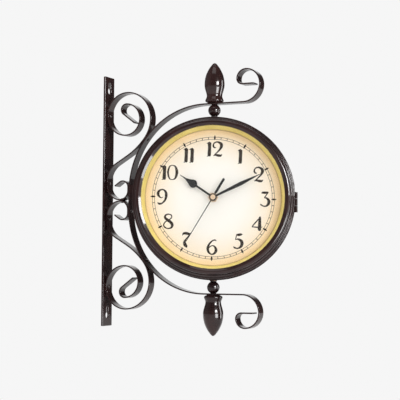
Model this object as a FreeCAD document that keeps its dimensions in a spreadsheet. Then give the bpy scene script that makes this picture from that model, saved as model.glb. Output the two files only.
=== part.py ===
import FreeCAD, Part
import math
import os
import Sketcher

# Double sided station clock on a scrolled wall bracket.
#
# Lengths are millimetres and angles are degrees.  The origin is the centre of the wall
# plate's back face: +X points out of the wall, +Z points up, and the front face of the
# clock looks towards -Y.  The clock turns about an upright axis, and everything in it is
# drawn about the clock's own centre: X across the dial, Z up, and "depth" measured from
# the middle plane towards the face, which is -Y.

SIZES = {
    # wall plate
    "plate_wide": 26.0,
    "plate_tall": 362.0,
    "plate_thick": 3.0,
    "keyhole_top": 171.5,
    "keyhole_pitch": 326.0,
    "keyhole_round": 4.5,
    "keyhole_slot": 2.5,
    "keyhole_run": 11.0,
    # flat strip and the hooped arm
    "strip_wide": 15.0,
    "strip_thick": 2.0,
    "wall_gap": 40.8,
    "arm_behind": 17.7,
    "arm_over": 18.9,
    "arm_spine": 13.2,
    "arm_straight": 46.7,
    "curl_first": 24.6,
    "curl_second": 21.0,
    "curl_third": 13.0,
    "curl_fourth": 7.5,
    "curl_tail": 17.7,
    # the two mirrored scrolls
    "touch_angle": 141.7,
    "scroll_slope": 30.5,
    "scroll_sweep": 100.0,
    "scroll_foot": 28.5,
    "scroll_shoulder": 46.0,
    "scroll_outer": 39.0,
    "scroll_under": 30.0,
    "scroll_rise": 23.0,
    "scroll_crown": 22.3,
    "scroll_eye": 8.0,
    "scroll_eye_turn": 143.5,
    "scroll_tail": 23.0,
    "hook_foot": 22.0,
    "hook_rise": 5.0,
    "hook_top": 9.0,
    "hook_turn": 125.0,
    "hook_tail": 9.5,
    # rivets
    "rivet_shank": 1.5,
    "rivet_head": 2.7,
    "rivet_head_tall": 1.3,
    "rivet_ease": 0.12,
    "foot_rivet_ease": 0.35,
    "hook_rivet_up": 1.4,
    # pivots, beads and finials
    "pin_radius": 2.5,
    "pin_head": 3.4,
    "pin_head_tall": 1.4,
    "pin_grip": 11.5,
    "bush_wall": 1.45,
    "bush_collar": 5.2,
    "bush_collar_tall": 0.8,
    "bush_drop": 5.0,
    "washer_radius": 4.6,
    "washer_thick": 0.8,
    "bead_radius": 8.7,
    "bead_neck": 4.0,
    "finial_foot": 9.0,
    "finial_flare": 12.9,
    "finial_flare_low": 3.9,
    "finial_flare_high": 5.4,
    "finial_waist": 10.7,
    "finial_waist_high": 12.8,
    "finial_belly": 14.0,
    "finial_belly_high": 27.0,
    "finial_tip": 1.6,
    "finial_tall": 57.5,
    "finial_flare_curve": 14.8,
    "finial_waist_curve": 35.0,
    "finial_side_curve": 43.0,
    # round case
    "rest_turn": 23.0,
    "band_radius": 113.5,
    "band_thick": 3.0,
    "band_half": 7.0,
    "shell_wall": 1.2,
    "lip_reach": 2.7,
    "rim_drop": 0.9,
    "rim_wide": 4.7,
    "drum_drop": 2.2,
    "step_depth": 28.4,
    "drum_turn": 3.6,
    "drum_turn_deep": 2.4,
    "waist_drop": 5.7,
    "neck_drop": 9.5,
    "neck_step_depth": 38.0,
    "neck_depth": 43.2,
    "bezel_thick": 1.2,
    "bezel_crest": 2.2,
    "bezel_brow": 3.1,
    "bezel_flat": 1.5,
    "bezel_hollow": 4.9,
    "opening_drop": 16.1,
    "glass_thick": 2.0,
    "ring_flange": 1.0,
    "ring_wall": 1.2,
    "ring_taper": 3.9,
    "dial_drop": 12.5,
    "dial_thick": 0.8,
    "dial_plate_thick": 2.0,
    "cup_wall": 1.2,
    "cup_tall": 4.0,
    # hinge, tab and catch
    "hinge_flat_drop": 1.7,
    "hinge_drop": 5.0,
    "hinge_half": 14.0,
    "leaf_thick": 0.8,
    "leaf_reach": 4.0,
    "barrel_radius": 2.0,
    "barrel_lift": 2.3,
    "barrel_pin": 0.8,
    "knuckle_half": 4.8,
    "tab_half": 9.5,
    "tab_height": 8.0,
    "tab_reach": 4.4,
    "magnet_half_tall": 8.0,
    "magnet_thick": 5.0,
    # quartz movement
    "movement_wide": 56.0,
    "movement_deep": 14.8,
    "movement_wall": 1.5,
    "bay_tall": 14.5,
    "cover_thick": 1.2,
    "bush_radius": 4.0,
    "bush_tall": 6.8,
    "nut_flat": 6.0,
    "nut_thick": 2.4,
    "battery_radius": 7.1,
    "battery_long": 49.3,
    "battery_nub": 2.7,
    "battery_nub_long": 1.2,
    "coil_long": 24.0,
    "coil_flange": 4.0,
    "coil_flange_thick": 1.4,
    "coil_winding": 3.2,
    "coil_height": 19.5,
    "board_wide": 16.0,
    "board_tall": 20.0,
    "board_thick": 1.0,
    # wheels and arbors
    "hour_pipe": 2.5,
    "minute_pipe": 1.75,
    "second_arbor": 0.8,
    "wheel_thick": 1.4,
    "hour_module": 0.3,
    "minute_module": 0.375,
    "second_module": 0.2,
    "motion_angle": 180.0,
    "axle_radius": 0.75,
    "post_radius": 1.9,
    "knob_radius": 5.0,
    "knob_thick": 2.2,
    "knob_shaft": 1.5,
    "second_wheel_depth": 14.0,
    # hands
    "hand_thick": 0.6,
    "hour_hand_long": 52.0,
    "hour_hand_wide": 2.0,
    "hour_hand_ball": 5.5,
    "hour_hand_ball_at": 33.0,
    "hour_hand_shoulder": 3.0,
    "hour_hand_tip_root": 10.5,
    "hour_hand_tip_half": 0.9,
    "hour_hand_hub": 5.0,
    "hour_hand_angle": 303.8,
    "minute_hand_long": 70.7,
    "minute_hand_wide": 5.0,
    "minute_hand_root": 2.0,
    "minute_hand_widest_at": 42.4,
    "minute_hand_hub": 5.0,
    "minute_hand_angle": 63.6,
    "second_hand_long": 70.5,
    "second_hand_wide": 1.0,
    "second_hand_tip": 0.4,
    "second_hand_cap": 3.5,
    "second_hand_weight": 3.0,
    "second_hand_weight_from": 6.0,
    "second_hand_weight_to": 29.4,
    "second_hand_angle": 210.8,
    # clearances
    "running_gap": 0.05,
    "press_gap": 0.02,
    "slip_gap": 0.1,
    "swing_gap": 0.3,
}

HOUR_TEETH = 48
MINUTE_TEETH = 12
MOTION_TEETH = 36
MOTION_PINION_TEETH = 12
SECOND_TEETH = 60
QUARTER = 90.0
HALF_TURN = 180.0
HEX_HALF = 30.0


class Size:
    """A number together with the sheet formula that gives it."""

    def __init__(self, value, formula):
        self.value = float(value)
        self.formula = formula

    def __add__(self, other):
        other = sized(other)
        return Size(self.value + other.value, f"({self.formula} + {other.formula})")

    def __sub__(self, other):
        other = sized(other)
        return Size(self.value - other.value, f"({self.formula} - {other.formula})")

    def __mul__(self, other):
        other = sized(other)
        return Size(self.value * other.value, f"{self.formula} * {other.formula}")

    def __truediv__(self, other):
        other = sized(other)
        return Size(self.value / other.value, f"{self.formula} / ({other.formula})")

    def __radd__(self, other):
        return sized(other) + self

    def __rsub__(self, other):
        return sized(other) - self

    def __rmul__(self, other):
        return sized(other) * self

    def __neg__(self):
        return Size(-self.value, f"(0 - {self.formula})")


def sized(number):
    """Turn a plain number into a Size, and leave a Size as it is."""
    return number if isinstance(number, Size) else Size(number, f"({number})")


def sine(angle):
    return Size(math.sin(math.radians(angle.value)), f"sin({angle.formula})")


def cosine(angle):
    return Size(math.cos(math.radians(angle.value)), f"cos({angle.formula})")


def root(amount):
    return Size(math.sqrt(amount.value), f"sqrt({amount.formula})")


def side_of(length, across):
    """The other short side of a right triangle with this long side and short side."""
    return root(length * length - across * across)


doc = FreeCAD.newDocument("station_clock")
sheet = doc.addObject("Spreadsheet::Sheet", "Sizes")
for row, (name, number) in enumerate(SIZES.items(), start=1):
    sheet.set(f"A{row}", str(number))
    sheet.setAlias(f"A{row}", name)
doc.recompute()


class Sheet:
    """Reads a driving dimension of the sheet by its name."""

    def __getattr__(self, name):
        return Size(getattr(sheet, name), f"Sizes.{name}")


S = Sheet()
Vec = FreeCAD.Vector
parts = []


# ---------------------------------------------------------------- places that follow the case

def arm_reach():
    """The arm's upright run stands this far behind the clock's axis."""
    return S.band_radius + S.arm_behind


def axis_reach():
    """The clock's axis stands this far out of the wall."""
    return S.wall_gap + arm_reach()


def arm_rise():
    """The arm's level runs lie this far above and below the clock's centre."""
    return S.band_radius + S.arm_over


def arm_bend():
    return arm_rise() - S.arm_spine


def rim_radius():
    return S.band_radius - S.rim_drop


def drum_radius():
    return S.band_radius - S.drum_drop


def waist_radius():
    return S.band_radius - S.waist_drop


def neck_radius():
    return S.band_radius - S.neck_drop


def opening_radius():
    return S.band_radius - S.opening_drop


def ring_foot():
    return opening_radius() - S.ring_taper


def dial_radius():
    return S.band_radius - S.dial_drop


def hinge_flat():
    return S.band_radius - S.hinge_flat_drop


# ---------------------------------------------------------------- sketch and feature helpers

def new_body(label):
    """Start a sub-part whose label becomes its node's name."""
    body = doc.addObject("PartDesign::Body", label)
    body.Label = label
    parts.append(body)
    return body


def new_sketch(body, role, lift=None):
    """Put a sketch on one of the body's own planes, lifted along the plane's normal."""
    sketch = body.newObject("Sketcher::SketchObject", f"{body.Label}_sketch")
    plane = next(item for item in body.Origin.OriginFeatures if item.Role == role)
    sketch.AttachmentSupport = [(plane, "")]
    sketch.MapMode = "FlatFace"
    if lift is not None:
        sketch.setExpression(".AttachmentOffset.Base.z", sized(lift).formula)
    return sketch


def bind(sketch, kind, where, amount):
    """Add a driving dimension and tie it to the sheet."""
    amount = sized(amount)
    index = sketch.addConstraint(Sketcher.Constraint(kind, *where, amount.value))
    sketch.setExpression(f"Constraints[{index}]", amount.formula)


def place_point(sketch, edge, end, x, y):
    bind(sketch, "DistanceX", (-1, 1, edge, end), x)
    bind(sketch, "DistanceY", (-1, 1, edge, end), y)


def arc_between(start, finish, radius):
    """The short arc from start to finish; a positive radius bulges to the right of travel."""
    chord = finish - start
    half = chord.Length / 2
    rise = math.sqrt(max(radius * radius - half * half, 0.0))
    left = Vec(-chord.y, chord.x, 0).normalize()
    side = 1 if radius > 0 else -1
    centre = (start + finish) / 2 + left * rise * side
    toward = ((start + finish) / 2 - centre)
    if toward.Length < 1e-9:
        toward = left * -side
    middle = centre + toward.normalize() * abs(radius)
    return Part.Arc(start, middle, finish)


def draw(sketch, corners):
    """Draw a closed outline.  A corner is (x, y), or (x, y, radius) when the edge that
    leaves it is an arc."""
    first = sketch.GeometryCount
    points = [Vec(sized(c[0]).value, sized(c[1]).value, 0) for c in corners]
    for place, corner in enumerate(corners):
        start = points[place]
        finish = points[(place + 1) % len(points)]
        if len(corner) == 3:
            edge = arc_between(start, finish, sized(corner[2]).value)
        else:
            edge = Part.LineSegment(start, finish)
        sketch.addGeometry(edge, False)
    ends = []
    for place, corner in enumerate(corners):
        forward = len(corner) == 2 or sized(corner[2]).value > 0
        ends.append((1, 2) if forward else (2, 1))
    for place, corner in enumerate(corners):
        edge = first + place
        after = first + (place + 1) % len(corners)
        joint = (edge, ends[place][1], after, ends[(place + 1) % len(corners)][0])
        sketch.addConstraint(Sketcher.Constraint("Coincident", *joint))
        place_point(sketch, edge, ends[place][0], corner[0], corner[1])
        if len(corner) == 3:
            radius = sized(corner[2])
            bind(sketch, "Radius", (edge,), radius if radius.value > 0 else -radius)


def draw_circle(sketch, x, y, radius):
    edge = sketch.addGeometry(Part.Circle(Vec(sized(x).value, sized(y).value, 0),
                                          Vec(0, 0, 1), sized(radius).value), False)
    place_point(sketch, edge, 3, x, y)
    bind(sketch, "Radius", (edge,), radius)


def rectangle(left, low, right, high):
    return [(left, low), (right, low), (right, high), (left, high)]


def feature(body, kind, sketch):
    made = body.newObject(f"PartDesign::{kind}", f"{body.Label}_{kind.lower()}")
    made.Profile = sketch
    sketch.Visibility = False
    return made


def pad(body, sketch, length, middle=False):
    made = feature(body, "Pad", sketch)
    made.setExpression("Length", sized(length).formula)
    made.Midplane = middle
    return made


def pocket(body, sketch, length, middle=False, reverse=False):
    """Cut against the sketch's normal, or along it when reversed."""
    doc.recompute()
    before = body.Shape.Volume
    made = feature(body, "Pocket", sketch)
    made.setExpression("Length", sized(length).formula)
    made.Midplane = middle
    made.Reversed = reverse
    doc.recompute()
    if body.Shape.Volume >= before:
        raise RuntimeError(f"{body.Label}: a pocket cuts nothing")
    return made


def spin(body, sketch, kind="Revolution"):
    made = feature(body, kind, sketch)
    made.ReferenceAxis = (sketch, ["V_Axis"])
    made.Angle = 360
    return made


def turned(label, outline):
    """A piece turned about the clock's own axis, from (radius, depth) corners."""
    body = new_body(label)
    sketch = new_sketch(body, "XY_Plane")
    draw(sketch, [(corner[0], -sized(corner[1])) + tuple(-sized(radius) for radius in corner[2:])
                  for corner in outline])
    spin(body, sketch)
    return body


def turned_upright(body, outline):
    """Turn (radius, height) corners about the upright axis."""
    sketch = new_sketch(body, "XZ_Plane")
    draw(sketch, outline)
    spin(body, sketch)
    return body


def plate_pad(body, outline, low, thick):
    """A flat piece parallel to the dial, from depth low, this thick."""
    sketch = new_sketch(body, "XZ_Plane", low)
    for item in outline:
        if len(item) == 3 and not isinstance(item[0], tuple):
            draw_circle(sketch, *item)
        else:
            draw(sketch, item)
    return pad(body, sketch, thick)


def place(obj, turn=None, x=None, spin_angle=None):
    """Stand a sub-part at its place: turned about Z, moved out by x, spun in its dial."""
    base = Vec(sized(x or 0).value, 0, 0)
    about_z = FreeCAD.Rotation(Vec(0, 0, 1), sized(turn or 0).value)
    about_y = FreeCAD.Rotation(Vec(0, 1, 0), sized(spin_angle or 0).value)
    obj.Placement = FreeCAD.Placement(base, about_z.multiply(about_y))
    if x is not None:
        obj.setExpression(".Placement.Base.x", x.formula)
    if turn is not None and spin_angle is None:
        obj.setExpression(".Placement.Rotation.Angle", turn.formula)
    return obj


def group(label, copies):
    """Fasteners as one group of separate solids, from (master, placement) pairs."""
    made = doc.addObject("Part::Feature", label)
    made.Label = label
    solids = []
    for master, spot in copies:
        copy = master.Shape.copy()
        copy.Placement = spot.multiply(master.Placement)
        solids.append(copy)
    made.Shape = Part.makeCompound(solids)
    parts.append(made)
    return made


# ---------------------------------------------------------------- bent flat strip

class Strip:
    """Walks along a strip's centre line and keeps its straight runs and bends."""

    def __init__(self, x, z, heading, flip=1):
        self.flip = flip
        self.at = Vec(x.value, z.value * flip, 0)
        self.heading = math.radians(heading.value) * flip
        self.steps = []

    def run(self, length):
        start = self.at
        way = Vec(math.cos(self.heading), math.sin(self.heading), 0)
        self.at = start + way * length.value
        self.steps.append(("run", start, self.at, way, length, 0))
        return self

    def bend(self, radius, turn, left):
        """Bend by this many degrees, to the left or to the right of travel."""
        side = (1 if left else -1) * self.flip
        normal = Vec(-math.sin(self.heading), math.cos(self.heading), 0) * side
        start = self.at
        centre = start + normal * radius.value
        angle = math.radians(sized(turn).value) * side
        from_centre = start - centre
        half = FreeCAD.Rotation(Vec(0, 0, 1), math.degrees(angle / 2))
        whole = FreeCAD.Rotation(Vec(0, 0, 1), math.degrees(angle))
        middle = centre + half.multVec(from_centre)
        self.at = centre + whole.multVec(from_centre)
        self.heading += angle
        self.steps.append(("bend", start, self.at, (centre, middle), radius, side))
        return self


def strip_side(sketch, steps, half, side):
    """Draw one side of the strip, to the left (+1) or the right (-1) of travel."""
    edges = []
    for kind, start, finish, detail, amount, turn in steps:
        if kind == "run":
            normal = Vec(-detail.y, detail.x, 0) * half.value * side
            edge = Part.LineSegment(start + normal, finish + normal)
            index = sketch.addGeometry(edge, False)
            bind(sketch, "Distance", (index,), amount)
            edges.append((index, 1, 2))
            continue
        centre, middle = detail
        radius = amount - half if side == turn else amount + half
        scale = radius.value / amount.value
        spots = [centre + (spot - centre) * scale for spot in (start, middle, finish)]
        index = sketch.addGeometry(Part.Arc(*spots), False)
        bind(sketch, "Radius", (index,), radius)
        edges.append((index, 1, 2) if turn > 0 else (index, 2, 1))
    for before, after in zip(edges, edges[1:]):
        joint = (before[0], before[2], after[0], after[1])
        sketch.addConstraint(Sketcher.Constraint("Tangent", *joint))
    return edges


def strip_body(label, strip, step, x, z):
    """Pad a bent strip, whose step with this number starts here on its left side."""
    body = new_body(label)
    sketch = new_sketch(body, "XZ_Plane")
    half = S.strip_thick / 2
    left = strip_side(sketch, strip.steps, half, 1)
    right = strip_side(sketch, strip.steps, half, -1)
    for near, far in (((left[0][0], left[0][1]), (right[0][0], right[0][1])),
                      ((left[-1][0], left[-1][2]), (right[-1][0], right[-1][2]))):
        spots = [sketch.getPoint(*near), sketch.getPoint(*far)]
        index = sketch.addGeometry(Part.LineSegment(*spots), False)
        sketch.addConstraint(Sketcher.Constraint("Coincident", index, 1, *near))
        sketch.addConstraint(Sketcher.Constraint("Coincident", index, 2, *far))
    place_point(sketch, left[step][0], left[step][1], x, z)
    pad(body, sketch, S.strip_wide, middle=True)
    return body


def drill(body, centre, direction, radius, length):
    """Drill a round hole through the body, centred here, along this direction."""
    doc.recompute()
    before = body.Shape.Volume
    hole = body.newObject("PartDesign::SubtractiveCylinder", f"{body.Label}_hole")
    hole.setExpression("Radius", sized(radius).formula)
    hole.setExpression("Height", sized(length).formula)
    turn = FreeCAD.Rotation(Vec(0, 0, 1), direction)
    start = centre - direction * (sized(length).value / 2)
    plane = next(item for item in body.Origin.OriginFeatures if item.Role == "XY_Plane")
    hole.AttachmentSupport = [(plane, "")]
    hole.MapMode = "FlatFace"
    hole.AttachmentOffset = FreeCAD.Placement(start, turn)
    doc.recompute()
    if body.Shape.Volume >= before:
        raise RuntimeError(f"{body.Label}: a hole cuts nothing")


# ---------------------------------------------------------------- wall plate

def make_wall_plate():
    body = new_body("wall_plate")
    sketch = new_sketch(body, "YZ_Plane")
    wide = S.plate_wide / 2
    tall = S.plate_tall / 2
    draw(sketch, rectangle(-wide, -tall, wide, tall))
    pad(body, sketch, S.plate_thick)
    for seat in (S.keyhole_top, S.keyhole_top - S.keyhole_pitch):
        cut = new_sketch(body, "YZ_Plane")
        low = seat - S.keyhole_run
        shoulder = side_of(S.keyhole_round, S.keyhole_slot)
        draw(cut, [(S.keyhole_slot, seat, S.keyhole_slot),
                   (sized(0), seat + S.keyhole_slot, S.keyhole_slot),
                   (-S.keyhole_slot, seat),
                   (-S.keyhole_slot, low + shoulder, S.keyhole_round),
                   (sized(0), low - S.keyhole_round, S.keyhole_round),
                   (S.keyhole_slot, low + shoulder)])
        pocket(body, cut, S.plate_thick, reverse=True)
    for spot in plate_joints():
        drill(body, spot, Vec(1, 0, 0), S.rivet_shank + S.running_gap, S.plate_thick * 4)
    return body


# ---------------------------------------------------------------- hooped arm and scrolls

def make_hoop_arm():
    """One strip: a curl, a run under the clock, a wide bend up the wall side, and back."""
    run_length = axis_reach() + S.arm_straight - bend_x()
    tail_x = (axis_reach() + S.arm_straight + S.curl_first - S.curl_second - S.curl_third
              + S.curl_fourth + S.curl_tail)
    tail_z = (arm_rise() + S.curl_first + S.curl_second - S.curl_third - S.curl_fourth)
    strip = Strip(tail_x, -tail_z, sized(HALF_TURN))
    strip.run(S.curl_tail)
    for radius in (S.curl_fourth, S.curl_third, S.curl_second, S.curl_first):
        strip.bend(radius, QUARTER, left=True)
    strip.run(run_length)
    strip.bend(arm_bend(), QUARTER, left=False)
    strip.run(S.arm_spine * 2)
    strip.bend(arm_bend(), QUARTER, left=False)
    strip.run(run_length)
    for radius in (S.curl_first, S.curl_second, S.curl_third, S.curl_fourth):
        strip.bend(radius, QUARTER, left=True)
    strip.run(S.curl_tail)
    body = strip_body("hoop_arm", strip, 5, axis_reach() + S.arm_straight, -strip_top())
    length = (arm_rise() + S.strip_thick) * 2
    drill(body, Vec(axis_reach().value, 0, 0), Vec(0, 0, 1), S.pin_radius + S.slip_gap, length)
    for spot, way in arm_joints():
        drill(body, spot, way, S.rivet_shank + S.running_gap, S.strip_thick * 6)
    return body


def bend_x():
    """The arm's wide bends have their centres this far from the wall."""
    return S.wall_gap + arm_bend()


def touch_way(flip):
    """The direction from the arm's bend to the place where the scroll touches it."""
    angle = math.radians(S.touch_angle.value)
    return Vec(math.cos(angle), 0, math.sin(angle) * flip)


def hook_side_x():
    """The hooks touch the upright run of the arm, so their centre line is this far out."""
    return S.wall_gap - S.strip_thick


def hook_side_z():
    """The hooks are riveted to the arm low on their short upright run."""
    inner = hook_side_x() - S.plate_thick - S.strip_thick / 2 - S.hook_foot
    return S.strip_thick / 2 + inner + S.hook_rivet_up


def arm_joints():
    """Where the arm is riveted to the scrolls, with the direction of each rivet."""
    joints = []
    for flip in (1, -1):
        way = touch_way(flip)
        centre = Vec(bend_x().value, 0, S.arm_spine.value * flip)
        reach = arm_bend().value + S.strip_thick.value / 2
        joints.append((centre + way * reach, way))
    for flip in (1, -1):
        x = hook_side_x().value + S.strip_thick.value / 2
        joints.append((Vec(x, 0, hook_side_z().value * flip), Vec(-1, 0, 0)))
    return joints


def plate_joints():
    """Where the scrolls are riveted to the wall plate."""
    heights = [scroll_left_height().value, foot_rivet_height().value]
    return [Vec(S.plate_thick.value, 0, height * flip) for height in heights
            for flip in (1, -1)]


def scroll_numbers():
    """The run up the slope and the height of the foot, so that the scroll touches both
    the arm and the wall plate."""
    touch_x = bend_x() + (arm_bend() + S.strip_thick) * cosine(S.touch_angle)
    touch_z = S.arm_spine + (arm_bend() + S.strip_thick) * sine(S.touch_angle)
    at_touch = S.touch_angle - QUARTER
    low_x = touch_x - S.scroll_sweep * (sine(at_touch) - sine(S.scroll_slope))
    low_z = touch_z + S.scroll_sweep * (cosine(at_touch) - cosine(S.scroll_slope))
    line = S.plate_thick + S.strip_thick / 2
    foot_x = line + S.scroll_foot * (1 - sine(S.scroll_slope))
    slope_run = (low_x - foot_x) / cosine(S.scroll_slope)
    foot_z = (low_z - slope_run * sine(S.scroll_slope)
              - S.scroll_foot * cosine(S.scroll_slope))
    right_x = touch_x + S.scroll_shoulder * (1 - sine(at_touch))
    right_z = touch_z + S.scroll_shoulder * cosine(at_touch)
    return slope_run, foot_z, right_x, right_z, line


def scroll_left_height():
    """The height at which the big curl touches the wall plate."""
    _, _, right_x, right_z, line = scroll_numbers()
    return right_z + S.scroll_outer - (right_x - S.scroll_outer - line)


def foot_rivet_height():
    """The scroll is riveted to the plate halfway up its foot."""
    _, foot_z, _, _, _ = scroll_numbers()
    return (S.strip_thick / 2 + S.hook_foot + foot_z) / 2


def make_scroll(label, flip):
    """One S scroll: a small hook, a foot on the plate, a slope and a big spiral curl."""
    slope_run, foot_z, right_x, right_z, line = scroll_numbers()
    top_turn = S.hook_turn
    hook_inner = hook_side_x() - line - S.hook_foot
    start_heading = top_turn - QUARTER
    top_x = hook_side_x() - S.hook_top * (1 + cosine(HALF_TURN - top_turn))
    top_z = (S.strip_thick / 2 + hook_inner + S.hook_rise
             + S.hook_top * sine(HALF_TURN - top_turn))
    tip_x = top_x - S.hook_tail * cosine(start_heading)
    tip_z = top_z - S.hook_tail * sine(start_heading)
    foot_run = foot_z - S.strip_thick / 2 - S.hook_foot
    strip = Strip(tip_x, tip_z, start_heading, flip)
    strip.run(S.hook_tail)
    strip.bend(S.hook_top, top_turn, left=False)
    strip.run(S.hook_rise)
    strip.bend(hook_inner, QUARTER, left=False)
    strip.bend(S.hook_foot, QUARTER, left=False)
    strip.run(foot_run)
    strip.bend(S.scroll_foot, QUARTER - S.scroll_slope, left=False)
    strip.run(slope_run)
    strip.bend(S.scroll_sweep, S.touch_angle - QUARTER - S.scroll_slope, left=True)
    strip.bend(S.scroll_shoulder, HALF_TURN - S.touch_angle, left=True)
    strip.bend(S.scroll_outer, QUARTER, left=True)
    strip.bend(right_x - S.scroll_outer - line, QUARTER, left=True)
    for radius in (S.scroll_under, S.scroll_rise, S.scroll_crown):
        strip.bend(radius, QUARTER, left=True)
    strip.bend(S.scroll_eye, S.scroll_eye_turn, left=True)
    strip.run(S.scroll_tail)
    side = S.plate_thick if flip > 0 else S.plate_thick + S.strip_thick
    body = strip_body(label, strip, 5, side, (S.strip_thick / 2 + S.hook_foot) * flip)
    hole = S.rivet_shank + S.running_gap
    depth = S.strip_thick * 6
    centre = Vec(bend_x().value, 0, S.arm_spine.value * flip)
    reach = arm_bend().value + S.strip_thick.value
    drill(body, centre + touch_way(flip) * reach, touch_way(flip), hole, depth)
    side = Vec(hook_side_x().value, 0, hook_side_z().value * flip)
    drill(body, side, Vec(1, 0, 0), hole, depth)
    foot = Vec(line.value + S.hook_foot.value, 0, S.strip_thick.value / 2 * flip)
    drill(body, foot, Vec(0, 0, 1), hole, depth)
    for height in (scroll_left_height().value, foot_rivet_height().value):
        drill(body, Vec(line.value, 0, height * flip), Vec(1, 0, 0), hole, depth)
    return body


# ---------------------------------------------------------------- rivets

def rivet_master(label, low, high, two_heads):
    """A dome headed rivet about Z, whose shank spans these heights."""
    body = doc.addObject("PartDesign::Body", label)
    body.Label = label
    dome = (S.rivet_head * S.rivet_head + S.rivet_head_tall * S.rivet_head_tall) \
        / (S.rivet_head_tall * 2)
    zero = sized(0)
    outline = [(zero, low), (S.rivet_shank, low), (S.rivet_shank, high),
               (S.rivet_head, high, dome), (zero, high + S.rivet_head_tall)]
    if two_heads:
        outline = [(zero, low - S.rivet_head_tall, dome), (S.rivet_head, low)] + outline[1:]
    turned_upright(body, outline)
    doc.recompute()
    return body


def along(point, way):
    """A placement that stands Z along this direction, from this point."""
    return FreeCAD.Placement(point, FreeCAD.Rotation(Vec(0, 0, 1), way))


def make_rivets():
    """Heads on bent strips stand off by what the bend rises under their rims."""
    flush = rivet_master("flush_rivet", sized(0),
                         S.plate_thick + S.strip_thick + S.rivet_ease, two_heads=False)
    group("plate_rivets",
          [(flush, along(Vec(0, 0, spot.z), Vec(1, 0, 0))) for spot in plate_joints()])
    reach = S.strip_thick + S.rivet_ease
    double = rivet_master("strip_rivet", -reach, reach, two_heads=True)
    foot_reach = S.strip_thick + S.foot_rivet_ease
    foot = rivet_master("foot_rivet", -foot_reach, foot_reach, two_heads=True)
    x = (S.plate_thick + S.strip_thick / 2 + S.hook_foot).value
    group("arm_rivets",
          [(double, along(spot, way)) for spot, way in arm_joints()]
          + [(foot, along(Vec(x, 0, 0), Vec(0, 0, 1)))])


# ---------------------------------------------------------------- pivots, beads and finials

def strip_top():
    return arm_rise() + S.strip_thick / 2


def strip_underside():
    return arm_rise() - S.strip_thick / 2


def collar_top():
    return S.band_radius + S.bush_collar_tall


def washer_low():
    return collar_top() + S.slip_gap


def upright_pair(names, outline):
    """A piece above the clock and its mirror image below it."""
    for name, sign in zip(names, (1, -1)):
        body = new_body(name)
        corners = [(corner[0], sized(corner[1]) * sign)
                   + tuple(sized(radius) * sign for radius in corner[2:]) for corner in outline]
        turned_upright(body, corners)
        place(body, x=axis_reach())


def make_uprights():
    zero = sized(0)
    bore = S.pin_radius + S.press_gap
    foot = strip_top()
    pin_top = foot + S.pin_grip
    pin_low = S.band_radius - S.bush_drop - S.swing_gap
    upright_pair(("top_pivot_pin", "bottom_pivot_pin"), [
        (zero, pin_low - S.pin_head_tall),
        (S.pin_head, pin_low - S.pin_head_tall),
        (S.pin_head, pin_low),
        (S.pin_radius, pin_low),
        (S.pin_radius, pin_top),
        (zero, pin_top)])
    bead_high = strip_underside()
    bead_low = washer_low() + S.washer_thick
    bead_centre = (bead_high + bead_low) / 2
    neck_rise = side_of(S.bead_radius, S.bead_neck)
    upright_pair(("top_bead", "bottom_bead"), [
        (bore, bead_low),
        (S.bead_neck, bead_low),
        (S.bead_neck, bead_centre - neck_rise, S.bead_radius),
        (S.bead_neck, bead_centre + neck_rise),
        (S.bead_neck, bead_high),
        (bore, bead_high)])
    upright_pair(("top_finial", "bottom_finial"), [
        (bore, foot),
        (S.finial_foot, foot),
        (S.finial_flare, foot + S.finial_flare_low),
        (S.finial_flare, foot + S.finial_flare_high, -S.finial_flare_curve),
        (S.finial_waist, foot + S.finial_waist_high, -S.finial_waist_curve),
        (S.finial_belly, foot + S.finial_belly_high, S.finial_side_curve),
        (S.finial_tip, foot + S.finial_tall - S.finial_tip, S.finial_tip),
        (zero, foot + S.finial_tall),
        (zero, pin_top + S.slip_gap),
        (bore, pin_top + S.slip_gap)])
    washer = doc.addObject("PartDesign::Body", "pivot_washer")
    washer_bore = S.pin_radius + S.slip_gap
    turned_upright(washer, [(washer_bore, washer_low()), (S.washer_radius, washer_low()),
                            (S.washer_radius, bead_low), (washer_bore, bead_low)])
    doc.recompute()
    axis = FreeCAD.Placement(Vec(axis_reach().value, 0, 0), FreeCAD.Rotation())
    over = FreeCAD.Placement(Vec(0, 0, 0), FreeCAD.Rotation(Vec(0, 1, 0), 180))
    group("pivot_washers", [(washer, axis), (washer, axis.multiply(over))])


def make_bushes():
    """Two collared bushes that line the band's holes, above and below."""
    master = doc.addObject("PartDesign::Body", "pivot_bush")
    bore = S.pin_radius + S.running_gap
    outside = S.pin_radius + S.bush_wall
    low = S.band_radius - S.bush_drop
    turned_upright(master, [(bore, low), (outside, low), (outside, S.band_radius),
                            (S.bush_collar, S.band_radius), (S.bush_collar, collar_top()),
                            (bore, collar_top())])
    doc.recompute()
    axis = FreeCAD.Placement(Vec(axis_reach().value, 0, 0),
                             FreeCAD.Rotation(Vec(0, 0, 1), S.rest_turn.value))
    over = FreeCAD.Placement(Vec(0, 0, 0), FreeCAD.Rotation(Vec(0, 1, 0), 180))
    group("pivot_bushes", [(master, axis), (master, axis.multiply(over))])


# ---------------------------------------------------------------- round case

def in_case(body, turn_more=0, spin_angle=None):
    """Stand a piece in the clock, facing the front or, turned by half a turn, the rear."""
    turn = S.rest_turn + turn_more if turn_more else S.rest_turn
    return place(body, turn=turn, x=axis_reach(), spin_angle=spin_angle)


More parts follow.
